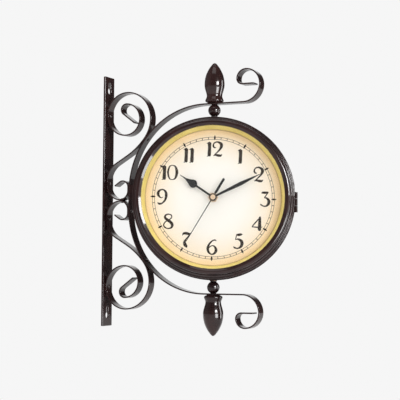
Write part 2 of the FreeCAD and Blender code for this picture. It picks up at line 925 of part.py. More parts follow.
def make_band():
    body = new_body("centre_band")
    inside = S.band_radius - S.band_thick
    sketch = new_sketch(body, "XY_Plane")
    draw(sketch, rectangle(inside, -S.band_half, S.band_radius, S.band_half))
    spin(body, sketch)
    doc.recompute()
    flat = new_sketch(body, "XY_Plane")
    draw(flat, rectangle(hinge_flat(), -S.band_half * 2, S.band_radius * 2, S.band_half * 2))
    pocket(body, flat, S.band_radius, middle=True)
    holes = new_sketch(body, "XY_Plane")
    zero = sized(0)
    draw_circle(holes, zero, zero, S.pin_radius + S.bush_wall + S.running_gap)
    pocket(body, holes, S.band_radius * 3, middle=True)
    in_case(body)


def lip_radius(gap):
    return S.band_radius - S.band_thick - gap


def make_shell(label, turn_more, gap, parting):
    """A spun half of the case: lip, rim, drum, step, waist and the neck for the bezel."""
    wall = S.shell_wall
    lip = lip_radius(gap)
    inner = lip - wall
    lip_end = S.band_half - S.lip_reach
    rim = S.band_half + parting
    body = turned(label, [
        (inner, lip_end),
        (lip, lip_end),
        (lip, rim),
        (rim_radius(), rim),
        (rim_radius(), rim + S.rim_wide),
        (drum_radius(), rim + S.rim_wide),
        (drum_radius(), S.step_depth - S.drum_turn_deep, S.drum_turn),
        (waist_radius() + wall, S.step_depth, -wall),
        (waist_radius(), S.step_depth + wall),
        (waist_radius(), S.neck_step_depth - wall, wall),
        (waist_radius() - wall, S.neck_step_depth),
        (neck_radius(), S.neck_step_depth),
        (neck_radius(), S.neck_depth),
        (neck_radius() - wall, S.neck_depth),
        (neck_radius() - wall, S.neck_step_depth - wall),
        (waist_radius() - wall, S.neck_step_depth - wall),
        (waist_radius() - wall, S.step_depth - wall),
        (drum_radius() - wall, S.step_depth - wall),
        (drum_radius() - wall, rim + S.rim_wide - wall),
        (inner, rim + S.rim_wide - wall)])
    in_case(body, turn_more)
    return body


def cut_flats(body):
    """Flats on the door's rim: one seats the hinge leaf and one seats the finger tab."""
    doc.recompute()
    flats = new_sketch(body, "XY_Plane")
    low = -(S.band_half + S.swing_gap + S.rim_wide * 2)
    for side in (1, -1):
        edges = sorted((hinge_flat() * side, S.band_radius * 2 * side),
                       key=lambda size: size.value)
        draw(flats, rectangle(edges[0], low, edges[1], -S.band_half + S.lip_reach))
    pocket(body, flats, S.band_radius, middle=True)


def bezel_inside():
    return neck_radius() + S.slip_gap


def glass_low():
    return S.neck_depth + S.ring_flange


def glass_high():
    return glass_low() + S.glass_thick


def make_bezel(label, turn_more):
    inside = bezel_inside()
    outside = inside + S.bezel_thick
    crest = glass_high() + S.bezel_crest
    low = S.neck_step_depth + S.swing_gap
    brow = S.bezel_brow
    body = turned(label, [
        (inside, low),
        (outside, low),
        (outside, crest - brow, brow),
        (outside - brow, crest),
        (outside - brow - S.bezel_flat, crest, S.bezel_hollow),
        (opening_radius(), glass_high() + S.bezel_thick / 2),
        (opening_radius(), glass_high()),
        (inside, glass_high())])
    in_case(body, turn_more)


def make_glass(label, turn_more):
    edge = bezel_inside() - S.slip_gap
    zero = sized(0)
    body = turned(label, [(zero, glass_low()), (edge, glass_low()), (edge, glass_high()),
                          (zero, glass_high())])
    in_case(body, turn_more)


def dial_face():
    return S.step_depth - S.shell_wall + S.dial_thick


def plate_back():
    """The depth of the dial plate's back, where the movement's case bears."""
    return S.step_depth - S.shell_wall - S.dial_plate_thick


def make_gold_ring(label, turn_more):
    edge = bezel_inside() - S.slip_gap
    front = opening_radius() - S.slip_gap
    body = turned(label, [
        (ring_foot(), dial_face()),
        (ring_foot() + S.ring_wall, dial_face()),
        (front + S.ring_wall, S.neck_depth),
        (edge, S.neck_depth),
        (edge, glass_low()),
        (front, glass_low())])
    in_case(body, turn_more)


def make_dial(label, turn_more):
    back = dial_face() - S.dial_thick
    hole = S.bush_radius + S.slip_gap
    body = turned(label, [(hole, back), (dial_radius(), back), (dial_radius(), dial_face()),
                          (hole, dial_face())])
    in_case(body, turn_more)


def make_dial_plate(label, turn_more):
    """A pressed cup that the drum grips: its flat carries the dial and the movement."""
    front = dial_face() - S.dial_thick
    edge = drum_radius() - S.shell_wall - S.slip_gap
    hole = S.bush_radius + S.slip_gap
    body = turned(label, [
        (hole, plate_back()),
        (edge - S.cup_wall, plate_back()),
        (edge - S.cup_wall, plate_back() - S.cup_tall),
        (edge, plate_back() - S.cup_tall),
        (edge, front),
        (hole, front)])
    in_case(body, turn_more)


# ---------------------------------------------------------------- hinge, tab and catch

def hinge_x():
    return hinge_flat() + S.barrel_lift


def hinge_y():
    return -(S.band_half + S.swing_gap / 2)


def knuckle(body, low, length, wall_from, wall_to):
    """A barrel with its web, from this height, bored for the pin."""
    sketch = new_sketch(body, "XY_Plane", low)
    draw_circle(sketch, hinge_x(), hinge_y(), S.barrel_radius)
    pad(body, sketch, length)
    web = new_sketch(body, "XY_Plane", low)
    draw(web, rectangle(hinge_flat(), wall_from, hinge_flat() + S.leaf_thick, wall_to))
    pad(body, web, length)


def bore_barrel(body, gap):
    doc.recompute()
    sketch = new_sketch(body, "XY_Plane")
    draw_circle(sketch, hinge_x(), hinge_y(), S.barrel_pin + gap)
    pocket(body, sketch, S.hinge_half * 4, middle=True)


def make_hinge():
    centre = -S.hinge_drop
    low = centre - S.hinge_half
    knuckle_low = centre - S.knuckle_half
    knuckle_gap = S.swing_gap
    clear = S.barrel_radius + S.swing_gap
    outer = S.hinge_half - S.knuckle_half - knuckle_gap

    band_leaf = new_body("hinge_band_leaf")
    sketch = new_sketch(band_leaf, "XY_Plane", low)
    draw(sketch, rectangle(hinge_flat(), hinge_y() + clear, hinge_flat() + S.leaf_thick,
                           hinge_y() + clear + S.leaf_reach * 2))
    pad(band_leaf, sketch, S.hinge_half * 2)
    for start in (low, centre + S.knuckle_half + knuckle_gap):
        knuckle(band_leaf, start, outer, hinge_y(), hinge_y() + clear)
    bore_barrel(band_leaf, S.press_gap)
    in_case(band_leaf)

    door_leaf = new_body("hinge_door_leaf")
    edge = hinge_y() - clear
    far = -(S.band_half + S.swing_gap + S.rim_wide)
    sketch = new_sketch(door_leaf, "XY_Plane", low)
    draw(sketch, rectangle(hinge_flat(), far, hinge_flat() + S.leaf_thick, edge))
    pad(door_leaf, sketch, S.hinge_half * 2)
    knuckle(door_leaf, knuckle_low, S.knuckle_half * 2, edge, hinge_y())
    bore_barrel(door_leaf, S.running_gap)
    in_case(door_leaf)

    pin = new_body("hinge_pin")
    sketch = new_sketch(pin, "XY_Plane", low)
    draw_circle(sketch, hinge_x(), hinge_y(), S.barrel_pin)
    pad(pin, sketch, S.hinge_half * 2)
    in_case(pin)


def make_door_tab():
    """A small folded finger lift on the door's rim, opposite the hinge."""
    body = new_body("door_tab")
    near = -(S.band_half + S.swing_gap)
    far = near - S.rim_wide
    seat = -hinge_flat()
    sketch = new_sketch(body, "XY_Plane", S.tab_height - S.tab_half)
    draw(sketch, [(seat, near), (seat - S.leaf_thick, near),
                  (seat - S.leaf_thick, far + S.leaf_thick),
                  (seat - S.tab_reach, far + S.leaf_thick),
                  (seat - S.tab_reach, far), (seat, far)])
    pad(body, sketch, S.tab_half * 2)
    in_case(body)


def make_magnet():
    """A bar magnet inside the band, which holds the door's steel lip."""
    body = new_body("catch_magnet")
    depth = S.band_half - S.lip_reach - S.slip_gap * 4
    corner = side_of(lip_radius(S.slip_gap), S.magnet_half_tall)
    sketch = new_sketch(body, "XY_Plane")
    draw(sketch, rectangle(-corner, -depth, -corner + S.magnet_thick, depth))
    pad(body, sketch, S.magnet_half_tall * 2, middle=True)
    in_case(body)


# ---------------------------------------------------------------- movement

def case_back():
    """The depth of the movement case's open back."""
    return plate_back() - S.movement_deep


def room_front():
    """The depth of the movement's inner front wall."""
    return plate_back() - S.movement_wall


def bay_top():
    return -S.movement_wide / 2 + S.movement_wall + S.bay_tall


def motion_spot():
    """Across and up to the motion wheel's axle, one centre distance from the hands'."""
    distance = S.minute_module * ((MINUTE_TEETH + MOTION_TEETH) / 2)
    return distance * cosine(S.motion_angle), distance * sine(S.motion_angle)


def knob_spot():
    """Across and up to the setting knob, one more centre distance out."""
    across, up = motion_spot()
    return across * 2, up * 2


def wheel_level():
    """The depth at which the hour wheel and the motion pinion run."""
    return room_front() - S.swing_gap - S.wheel_thick


def motion_level():
    """The depth at which the minute pinion and the motion wheel run."""
    return wheel_level() - S.swing_gap * 2 - S.wheel_thick


def make_movement_case(label, turn_more):
    body = new_body(label)
    half = S.movement_wide / 2
    wall = S.movement_wall
    plate_pad(body, [rectangle(-half, -half, half, half)], case_back(), S.movement_deep)
    bush = [(sized(0), sized(0), S.bush_radius)]
    plate_pad(body, bush, plate_back(), S.bush_tall)
    doc.recompute()
    depth = S.movement_deep - wall
    inner = half - wall
    rooms = new_sketch(body, "XZ_Plane", case_back())
    draw(rooms, rectangle(-inner, -inner, inner, bay_top()))
    draw(rooms, rectangle(-inner, bay_top() + wall, inner, inner))
    pocket(body, rooms, depth, reverse=True)
    bore = new_sketch(body, "XZ_Plane", case_back())
    draw_circle(bore, sized(0), sized(0), S.hour_pipe + S.running_gap)
    pocket(body, bore, S.movement_deep + S.bush_tall, reverse=True)
    sockets = new_sketch(body, "XZ_Plane", case_back())
    for spot in (motion_spot(), knob_spot()):
        draw_circle(sockets, *spot, S.axle_radius + S.running_gap)
    pocket(body, sockets, depth + wall / 2, reverse=True)
    in_case(body, turn_more)


def make_movement_cover(label, turn_more):
    """The cover of the gear room, with a post for the motion wheel and one for seconds."""
    body = new_body(label)
    half = S.movement_wide / 2
    low = case_back() - S.cover_thick
    plate_pad(body, [rectangle(-half, bay_top(), half, half)], low, S.cover_thick)
    post = S.post_radius
    motion_top = motion_level() - S.swing_gap - case_back()
    second_top = S.second_wheel_depth - S.swing_gap - case_back()
    plate_pad(body, [motion_spot() + (post,)], case_back(), motion_top)
    plate_pad(body, [(sized(0), sized(0), post)], case_back(), second_top)
    doc.recompute()
    bores = new_sketch(body, "XZ_Plane", case_back() - S.cover_thick / 2)
    draw_circle(bores, *motion_spot(), S.axle_radius + S.running_gap)
    draw_circle(bores, sized(0), sized(0), S.second_arbor + S.running_gap)
    pocket(body, bores, S.movement_deep, reverse=True)
    through = new_sketch(body, "XZ_Plane", low)
    draw_circle(through, *knob_spot(), S.knob_shaft + S.running_gap)
    pocket(body, through, S.cover_thick, reverse=True)
    in_case(body, turn_more)


def make_nut(label, turn_more):
    body = new_body(label)
    corner = S.nut_flat / cosine(sized(HEX_HALF))
    half = corner / 2
    flat = S.nut_flat
    zero = sized(0)
    sketch = new_sketch(body, "XZ_Plane", dial_face())
    draw(sketch, [(corner, zero), (half, flat), (-half, flat), (-corner, zero),
                  (-half, -flat), (half, -flat)])
    draw_circle(sketch, zero, zero, S.bush_radius + S.press_gap)
    pad(body, sketch, S.nut_thick)
    in_case(body, turn_more)


def make_battery(label, turn_more):
    """A round dry cell that lies across the bay, with its button at one end."""
    body = new_body(label)
    sketch = new_sketch(body, "YZ_Plane", -S.battery_long / 2 - S.battery_nub_long / 2)
    depth = -(room_front() - S.slip_gap - S.battery_radius)
    height = -S.movement_wide / 2 + S.movement_wall + S.slip_gap + S.battery_radius
    draw_circle(sketch, depth, height, S.battery_radius)
    pad(body, sketch, S.battery_long)
    nub = new_sketch(body, "YZ_Plane", S.battery_long / 2 - S.battery_nub_long / 2)
    draw_circle(nub, depth, height, S.battery_nub)
    pad(body, nub, S.battery_nub_long)
    in_case(body, turn_more)


def make_coil(label, turn_more):
    """A bobbin with square flanges and its round winding, which rests on the cover."""
    body = new_body(label)
    depth = case_back() + S.coil_flange
    start = -S.coil_long / 2
    flange = S.coil_flange_thick
    for low in (start, -start - flange):
        sketch = new_sketch(body, "YZ_Plane", low)
        draw(sketch, rectangle(-depth - S.coil_flange, S.coil_height - S.coil_flange,
                               -depth + S.coil_flange, S.coil_height + S.coil_flange))
        pad(body, sketch, flange)
        if low.value < 0:
            winding = new_sketch(body, "YZ_Plane", start + flange)
            draw_circle(winding, -depth, S.coil_height, S.coil_winding)
            pad(body, winding, S.coil_long - flange * 2)
    in_case(body, turn_more)


def make_board(label, turn_more):
    body = new_body(label)
    left = S.movement_wide / 2 - S.movement_wall - S.slip_gap - S.board_wide
    low = bay_top() + S.movement_wall + S.slip_gap
    outline = rectangle(left, low, left + S.board_wide, low + S.board_tall)
    plate_pad(body, [outline], case_back(), S.board_thick)
    in_case(body, turn_more)


# ---------------------------------------------------------------- toothed wheels

HANDS_AXIS = (sized(0), sized(0))


def gear(teeth, module, phase, low, thick, spot):
    """A spur wheel about this spot on the dial, with a tooth centred at this angle.
    Teeth stand 0.8 modules above the pitch circle and 1.1 below it, and the flanks leave
    backlash for a free mesh."""
    pitch = module.value * teeth / 2
    heights = ((-1.1, 0.31), (0.0, 0.21), (0.8, 0.1))
    step = 360.0 / teeth
    corners = []
    for tooth in range(teeth):
        middle = phase + tooth * step
        for side in (-1, 1):
            flank = heights if side < 0 else tuple(reversed(heights))
            for height, share in flank:
                angle = math.radians(middle + side * share * step)
                radius = pitch + height * module.value
                corners.append(Vec(spot[0].value + radius * math.cos(angle), -low.value,
                                   spot[1].value + radius * math.sin(angle)))
    face = Part.Face(Part.makePolygon(corners + corners[:1]))
    return face.extrude(Vec(0, -thick.value, 0))


def rod(radius, low, high, spot):
    start = Vec(spot[0].value, -low.value, spot[1].value)
    return Part.makeCylinder(radius.value, (high - low).value, start, Vec(0, -1, 0))


def wheel_part(label, solids, bore, turn_more):
    """Fuse a wheel with its pipes, bore it and stand it in the clock."""
    made = doc.addObject("Part::Feature", label)
    made.Label = label
    shape = solids[0].multiFuse(solids[1:])
    if bore is not None:
        shape = shape.cut(rod(bore, case_back(), glass_low(), HANDS_AXIS))
    made.Shape = shape.removeSplitter()
    parts.append(made)
    in_case(made, turn_more)


def hand_levels():
    """The depths of the hour, minute and second hands."""
    hour = plate_back() + S.bush_tall + S.hand_thick
    minute = hour + S.hand_thick * 4
    second = minute + S.hand_thick * 4
    return hour, minute, second


def make_wheels(side, turn_more):
    """The motion work: minute pinion, motion wheel and pinion, hour wheel, setting knob
    and the arbor of the second hand, all in mesh at rest."""
    hour_level, minute_level, second_level = hand_levels()
    centre = HANDS_AXIS
    motion = motion_spot()
    toward_motion = S.motion_angle.value
    back_to_centre = toward_motion + HALF_TURN
    level = wheel_level()
    lower = motion_level()
    thick = S.wheel_thick
    axle_top = room_front() + S.movement_wall / 2 - S.slip_gap
    hour_phase = toward_motion + HALF_TURN / HOUR_TEETH
    wheel_part(f"{side}_hour_wheel", [
        gear(HOUR_TEETH, S.hour_module, hour_phase, level, thick, centre),
        rod(S.hour_pipe, level, hour_level + S.hand_thick * 2, centre)],
        S.minute_pipe + S.running_gap, turn_more)
    wheel_part(f"{side}_minute_arbor", [
        gear(MINUTE_TEETH, S.minute_module, toward_motion, lower, thick, centre),
        rod(S.minute_pipe, S.second_wheel_depth + thick + S.swing_gap,
            minute_level + S.hand_thick * 2, centre)],
        S.second_arbor + S.running_gap, turn_more)
    wheel_part(f"{side}_second_arbor", [
        gear(SECOND_TEETH, S.second_module, 0.0, S.second_wheel_depth, thick, centre),
        rod(S.second_arbor, case_back() + S.slip_gap, second_level + S.hand_thick, centre)],
        None, turn_more)
    wheel_phase = back_to_centre + HALF_TURN / MOTION_TEETH
    wheel_part(f"{side}_motion_wheel", [
        gear(MOTION_TEETH, S.minute_module, wheel_phase, lower, thick, motion),
        gear(MOTION_PINION_TEETH, S.hour_module, back_to_centre, lower + thick,
             level - lower, motion),
        rod(S.axle_radius, case_back() + S.slip_gap, axle_top, motion)],
        None, turn_more)
    knob = knob_spot()
    knob_low = case_back() - S.cover_thick - S.swing_gap - S.knob_thick
    wheel_part(f"{side}_set_knob", [
        gear(MINUTE_TEETH, S.minute_module, back_to_centre, lower, thick, knob),
        rod(S.knob_radius, knob_low, knob_low + S.knob_thick, knob),
        rod(S.knob_shaft, knob_low, lower, knob),
        rod(S.axle_radius, lower, axle_top, knob)],
        None, turn_more)


# ---------------------------------------------------------------- hands

def hand_body(label, outlines, level, bore, turn_more, angle):
    """A flat hand that points straight up, then is spun to its hour."""
    body = new_body(label)
    sketch = new_sketch(body, "XZ_Plane", level)
    draw(sketch, outlines)
    if bore is not None:
        draw_circle(sketch, sized(0), sized(0), bore)
    pad(body, sketch, S.hand_thick)
    in_case(body, turn_more, spin_angle=angle)
    return body


def hub_outline(hub, wide, body_points):
    """Join a round hub to the blade that rises from it.  The blade's points run up its
    right side, tip last, and are mirrored for the left side."""
    half = wide / 2
    rise = side_of(hub, half)
    right = [(half, rise)] + body_points
    left = [(-point[0], point[1]) for point in reversed(body_points[:-1])]
    return [(-half, rise, hub), (sized(0), -hub, hub)] + right + left


def make_hands(side, turn_more):
    hour_level, minute_level, second_level = hand_levels()
    half = S.hour_hand_wide / 2
    ball = S.hour_hand_ball
    at = S.hour_hand_ball_at
    long = S.hour_hand_long
    neck = side_of(ball, half)
    shoulder = S.hour_hand_shoulder
    tip_root = at + S.hour_hand_tip_root
    tip_half = S.hour_hand_tip_half
    shoulder_up = side_of(ball, shoulder)
    zero = sized(0)
    rise = side_of(S.hour_hand_hub, half)
    outline = [
        (-half, rise, S.hour_hand_hub), (zero, -S.hour_hand_hub, S.hour_hand_hub),
        (half, rise),
        (half, at - neck, ball), (ball, at, ball),
        (shoulder, at + shoulder_up), (tip_half, tip_root), (zero, long),
        (-tip_half, tip_root), (-shoulder, at + shoulder_up, ball),
        (-ball, at, ball), (-half, at - neck)]
    hand_body(f"{side}_hour_hand", outline, hour_level, S.hour_pipe + S.press_gap,
              turn_more, S.hour_hand_angle)
    wide = S.minute_hand_wide / 2
    blade = [(wide, S.minute_hand_widest_at), (zero, S.minute_hand_long)]
    outline = hub_outline(S.minute_hand_hub, S.minute_hand_root, blade)
    hand_body(f"{side}_minute_hand", outline, minute_level, S.minute_pipe + S.press_gap,
              turn_more, S.minute_hand_angle)
    needle = S.second_hand_wide / 2
    tip = S.second_hand_tip / 2
    weight = S.second_hand_weight / 2
    outline = [
        (-tip, S.second_hand_long), (-needle, -S.second_hand_weight_from),
        (-weight, -S.second_hand_weight_from), (-weight, -S.second_hand_weight_to),
        (weight, -S.second_hand_weight_to), (weight, -S.second_hand_weight_from),
        (needle, -S.second_hand_weight_from), (tip, S.second_hand_long)]
    body = new_body(f"{side}_second_hand")
    sketch = new_sketch(body, "XZ_Plane", second_level)
    draw(sketch, outline)
    pad(body, sketch, S.hand_thick)
    plate_pad(body, [(zero, zero, S.second_hand_cap)], second_level, S.hand_thick * 2)
    doc.recompute()
    bore = new_sketch(body, "XZ_Plane", second_level)
    draw_circle(bore, zero, zero, S.second_arbor + S.press_gap)
    pocket(body, bore, S.hand_thick, reverse=True)
    in_case(body, turn_more, spin_angle=S.second_hand_angle)


# ---------------------------------------------------------------- assembly

make_wall_plate()
make_hoop_arm()
make_scroll("upper_scroll", 1)
make_scroll("lower_scroll", -1)
make_rivets()
make_uprights()
make_bushes()
make_band()
make_shell("rear_shell", HALF_TURN, S.slip_gap, sized(0))
cut_flats(make_shell("front_shell", 0, S.swing_gap, S.swing_gap))
make_hinge()
make_door_tab()
make_magnet()

for face, half_turn in (("front", 0), ("rear", HALF_TURN)):
    make_bezel(f"{face}_bezel", half_turn)
    make_glass(f"{face}_glass", half_turn)
    make_gold_ring(f"{face}_gold_ring", half_turn)
    make_dial(f"{face}_dial", half_turn)
    make_dial_plate(f"{face}_dial_plate", half_turn)
    make_movement_case(f"{face}_movement_case", half_turn)
    make_movement_cover(f"{face}_movement_cover", half_turn)
    make_nut(f"{face}_movement_nut", half_turn)
    make_battery(f"{face}_battery", half_turn)
    make_coil(f"{face}_coil", half_turn)
    make_board(f"{face}_circuit_board", half_turn)
    make_wheels(face, half_turn)
    make_hands(face, half_turn)

doc.recompute()
faults = []
for obj in doc.Objects:
    if "Invalid" in obj.State or "Error" in obj.State:
        faults.append(f"{obj.Label}: {obj.State}")
for part in parts:
    if part.Shape.isNull() or not part.Shape.isValid() or not part.Shape.Solids:
        faults.append(f"{part.Label}: no valid solid")
if faults:
    raise RuntimeError("; ".join(faults))

os.makedirs("parts", exist_ok=True)
for part in parts:
    part.Shape.exportStep(f"parts/{part.Label}.step")
print(len(parts), "sub-parts written")
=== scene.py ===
import logging
import math
from dataclasses import dataclass, field
from enum import Enum
from typing import Any, Iterable, Optional, Sequence

import bmesh
import bpy
import numpy as np
from mathutils import Matrix, Vector


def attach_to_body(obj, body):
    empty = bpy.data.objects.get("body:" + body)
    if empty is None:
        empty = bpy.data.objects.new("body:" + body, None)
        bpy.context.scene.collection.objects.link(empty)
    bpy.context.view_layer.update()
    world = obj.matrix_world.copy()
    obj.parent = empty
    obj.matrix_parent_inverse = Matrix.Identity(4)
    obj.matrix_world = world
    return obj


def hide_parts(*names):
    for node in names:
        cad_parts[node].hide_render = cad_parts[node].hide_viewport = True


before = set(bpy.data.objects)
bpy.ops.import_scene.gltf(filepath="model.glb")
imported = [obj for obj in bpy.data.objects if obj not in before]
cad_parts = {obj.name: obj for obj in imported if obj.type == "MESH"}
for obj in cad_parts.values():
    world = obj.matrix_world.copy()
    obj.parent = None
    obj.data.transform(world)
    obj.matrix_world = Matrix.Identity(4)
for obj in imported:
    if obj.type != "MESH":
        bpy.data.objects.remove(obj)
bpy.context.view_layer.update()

LOG = logging.getLogger("station_clock")
MM = 0.001  # metres in a millimetre
AXIS_X = 172.0  # how far the pivots' axis stands from the wall, in millimetres
REST_TURN = 23.0  # degrees that the case is turned by about its pivots at rest
SMALL = 1e-9  # keeps a division from meeting zero

Points = np.ndarray
Colour = tuple[float, float, float]
Piece = tuple[bpy.types.Object, str, Optional[str]]  # object, body, replaced node


class Side(Enum):
    """The two faces of the clock, with the half turn that each needs."""

    FRONT = 0.0
    REAR = 180.0

    @property
    def word(self) -> str:
        """The word that starts the names of this side's nodes."""
        return self.name.lower()

    @property
    def body(self) -> str:
        """The body that carries this side's fixed pieces."""
        return "door" if self is Side.FRONT else "case"


class Slot(Enum):
    """The record's material slots, listed beside each group of new pieces."""

    CASE = "case_enamel"
    IRON = "iron_enamel"
    GOLD = "gold_paint"
    PAPER = "dial_paper"
    HAND = "hand_black"
    BRASS = "arbor_brass"


# ------------------------------------------------------------------ shader building


class Signal:
    """A shader socket on which Python's arithmetic adds Math nodes."""

    def __init__(self, graph: "Graph", socket: Any) -> None:
        """Keep the graph and its socket."""
        self.graph = graph
        self.socket = socket

    def math(self, operation: str, *others: Any, clamp: bool = False) -> "Signal":
        """Add one Math node.

        Args:
            operation: the Math node's operation.
            others: the values or signals of its other inputs.
            clamp: keep the result from 0 to 1.

        Returns:
            The result.
        """
        return self.graph.math(operation, self, *others, clamp=clamp)

    def __add__(self, other: Any) -> "Signal":
        """Sum."""
        return self.math("ADD", other)

    def __radd__(self, other: Any) -> "Signal":
        """Sum, the number first."""
        return self.math("ADD", other)

    def __sub__(self, other: Any) -> "Signal":
        """Difference."""
        return self.math("SUBTRACT", other)

    def __rsub__(self, other: Any) -> "Signal":
        """Difference, the number first."""
        return self.graph.math("SUBTRACT", other, self)

    def __mul__(self, other: Any) -> "Signal":
        """Product."""
        return self.math("MULTIPLY", other)

    def __rmul__(self, other: Any) -> "Signal":
        """Product, the number first."""
        return self.math("MULTIPLY", other)

    def __truediv__(self, other: Any) -> "Signal":
        """Quotient."""
        return self.math("DIVIDE", other)

    def __pow__(self, other: Any) -> "Signal":
        """Power."""
        return self.math("POWER", other)

    def step(self, low: float, high: float) -> "Signal":
        """Rise smoothly from 0 at one value to 1 at another.

        Args:
            low: where the rise starts.
            high: where it ends; a value under low makes it a fall.

        Returns:
            The share, from 0 to 1.
        """
        return self.graph.value("ShaderNodeMapRange", {"Value": self, "From Min": low,
                                                       "From Max": high},
                                {"interpolation_type": "SMOOTHSTEP"})


class Graph:
    """The nodes of one material, or of the world."""

    def __init__(self, owner: Any) -> None:
        """Empty the nodes of this material or world.

        Args:
            owner: the material or the world.
        """
        owner.use_nodes = True
        self.owner = owner
        self.tree = owner.node_tree
        self.tree.nodes.clear()

    @classmethod
    def named(cls, name: str) -> "Graph":
        """Start an empty material of this name."""
        return cls(bpy.data.materials.new(name))

    def add(self, kind: str, inputs: Optional[dict] = None,
            settings: Optional[dict] = None) -> Any:
        """Add a node of any type.

        Args:
            kind: the node's type.
            inputs: socket names or numbers, with a value or a Signal for each.
            settings: node properties, set first; "stops" holds a ramp's stops.

        Returns:
            The node.
        """
        node = self.tree.nodes.new(kind)
        for name, setting in (settings or {}).items():
            if name == "stops":
                self._stops(node.color_ramp, setting)
            else:
                setattr(node, name, setting)
        for name, value in (inputs or {}).items():
            socket = node.inputs[name]
            if isinstance(value, Signal):
                self.tree.links.new(value.socket, socket)
            elif isinstance(value, tuple) and len(value) == 3 and socket.type == "RGBA":
                socket.default_value = (*value, 1.0)
            else:
                socket.default_value = value
        return node

    @staticmethod
    def _stops(ramp: Any, stops: Sequence[tuple[float, Colour]]) -> None:
        """Give a colour ramp its stops.

        Args:
            ramp: the node's colour ramp.
            stops: a place from 0 to 1 and a colour for each.
        """
        while len(ramp.elements) < len(stops):
            ramp.elements.new(1.0)
        for element, (place, colour) in zip(ramp.elements, stops):
            element.position = place
            element.color = (*colour, 1.0)

    def value(self, kind: str, inputs: Optional[dict] = None, settings: Optional[dict] = None,
              output: Any = 0) -> Signal:
        """Add a node and keep one of its outputs.

        Args:
            kind: the node's type.
            inputs: as for add.
            settings: as for add.
            output: the name or number of the output.

        Returns:
            The output.
        """
        return Signal(self, self.add(kind, inputs, settings).outputs[output])

    def math(self, operation: str, *terms: Any, clamp: bool = False) -> Signal:
        """Add a Math node.

        Args:
            operation: its operation.
            terms: its inputs, in order.
            clamp: keep the result from 0 to 1.

        Returns:
            The result.
        """
        return self.value("ShaderNodeMath", dict(enumerate(terms)),
                          {"operation": operation, "use_clamp": clamp})

    def blend(self, factor: Any, low: Any, high: Any, mode: str = "MIX") -> Signal:
        """Mix two colours.

        Args:
            factor: the share of the second colour.
            low: the first colour.
            high: the second colour.
            mode: the Mix node's blend type.

        Returns:
            The mixed colour.
        """
        return self.value("ShaderNodeMix", {0: factor, 6: low, 7: high},
                          {"data_type": "RGBA", "blend_type": mode}, 2)

    def place(self, scale: Sequence[float] = (1, 1, 1), turn: float = 0.0,
              at: Sequence[float] = (0, 0, 0)) -> Signal:
        """Object coordinates, moved so that a point is the origin, turned about Z, scaled.

        Args:
            scale: scale of each axis after the turn.
            turn: degrees about Z that the piece was turned by.
            at: the point that becomes the origin.

        Returns:
            The vector.
        """
        found = self.value("ShaderNodeTexCoord", output="Object")
        moved = self.value("ShaderNodeVectorMath", {0: found, 1: tuple(at)},
                           {"operation": "SUBTRACT"})
        turned_back = self.value("ShaderNodeMapping", {
            "Vector": moved, "Rotation": (0.0, 0.0, -math.radians(turn))})
        return self.value("ShaderNodeVectorMath", {0: turned_back, 1: tuple(scale)},
                          {"operation": "MULTIPLY"})

    def noise(self, vector: Signal, scale: float, detail: float = 2.0,
              roughness: float = 0.5) -> Signal:
        """Add fractal noise.

        Args:
            vector: where it is read.
            scale: its waves a metre.
            detail: its octaves.
            roughness: how much the finer octaves count.

        Returns:
            A number from about 0 to 1.
        """
        return self.value("ShaderNodeTexNoise", {
            "Vector": vector, "Scale": scale, "Detail": detail, "Roughness": roughness})

    def attribute(self, name: str) -> Signal:
        """A number that the mesh carries at its points."""
        return self.value("ShaderNodeAttribute", settings={"attribute_name": name},
                          output="Fac")

    def bump(self, height: Signal, strength: float, distance: float) -> Signal:
        """Bend the normal by a height.

        Args:
            height: the height, from 0 to 1.
            strength: the share of the bend that is used.
            distance: the metres that a height of 1 stands for.

        Returns:
            The normal.
        """
        return self.value("ShaderNodeBump", {"Height": height, "Strength": strength,
                                             "Distance": distance})

    def surface(self, **inputs: Any) -> bpy.types.Material:
        """Close the material with a Principled shader.

        Args:
            inputs: its sockets' values, with _ for a blank in a name.

        Returns:
            The finished material.
        """
        named = {name.replace("_", " "): value for name, value in inputs.items()}
        shader = self.value("ShaderNodeBsdfPrincipled", named)
        self.add("ShaderNodeOutputMaterial", {"Surface": shader})
        return self.owner


# ------------------------------------------------------------------ finishes


@dataclass(frozen=True)
class Enamel:
    """Gloss stoving enamel: fine orange peel, faint smudges, and thin lighter edges that are
    partly chipped and partly a painted highlight.
    """

    name: str
    deep: Colour = (0.0225, 0.0095, 0.0095)
    warm: Colour = (0.0430, 0.0180, 0.0165)
    worn: Colour = (0.085, 0.060, 0.056)
    peel_waves: float = 420.0
    peel_depth: float = 0.007
    roughness: float = 0.32
    wear: float = 0.15
    under_gloss: float = 0.12
    coat: float = 0.9
    coat_roughness: float = 0.04
    cloud_waves: float = 26.0
    speck_waves: float = 1900.0
    smudge_waves: float = 60.0

    def build(self) -> bpy.types.Material:
        """Make the material.

        Clouds of two browns, a thin lighter colour where the mesh is marked as an edge, which
        stands for chipped enamel and a painted highlight along the edges, and a fine ripple
        in a clear coat.

        Returns:
            The material.
        """
        graph = Graph.named(self.name)
        spot = graph.place()
        broad = graph.noise(spot, self.cloud_waves, 3.0)
        peel = graph.noise(spot, self.peel_waves, 2.0)
        specks = graph.noise(spot, self.speck_waves, 1.0)
        # edge mask: chipped specks along the edges, which also paint a highlight there
        worn = graph.attribute("edge") * specks.step(0.47, 0.62)
        colour = graph.blend(broad.step(0.35, 0.7), self.deep, self.warm)
        colour = graph.blend(worn * self.wear, colour, self.worn)
        smudge = graph.noise(spot, self.smudge_waves, 4.0, 0.6).step(0.45, 0.75)
        return graph.surface(
            Base_Color=colour, Roughness=smudge * 0.10 + self.roughness,
            Normal=graph.bump(peel, self.peel_depth, 0.0003),
            Specular_IOR_Level=self.under_gloss, Coat_Weight=self.coat,
            Coat_Roughness=self.coat_roughness, IOR=1.5)


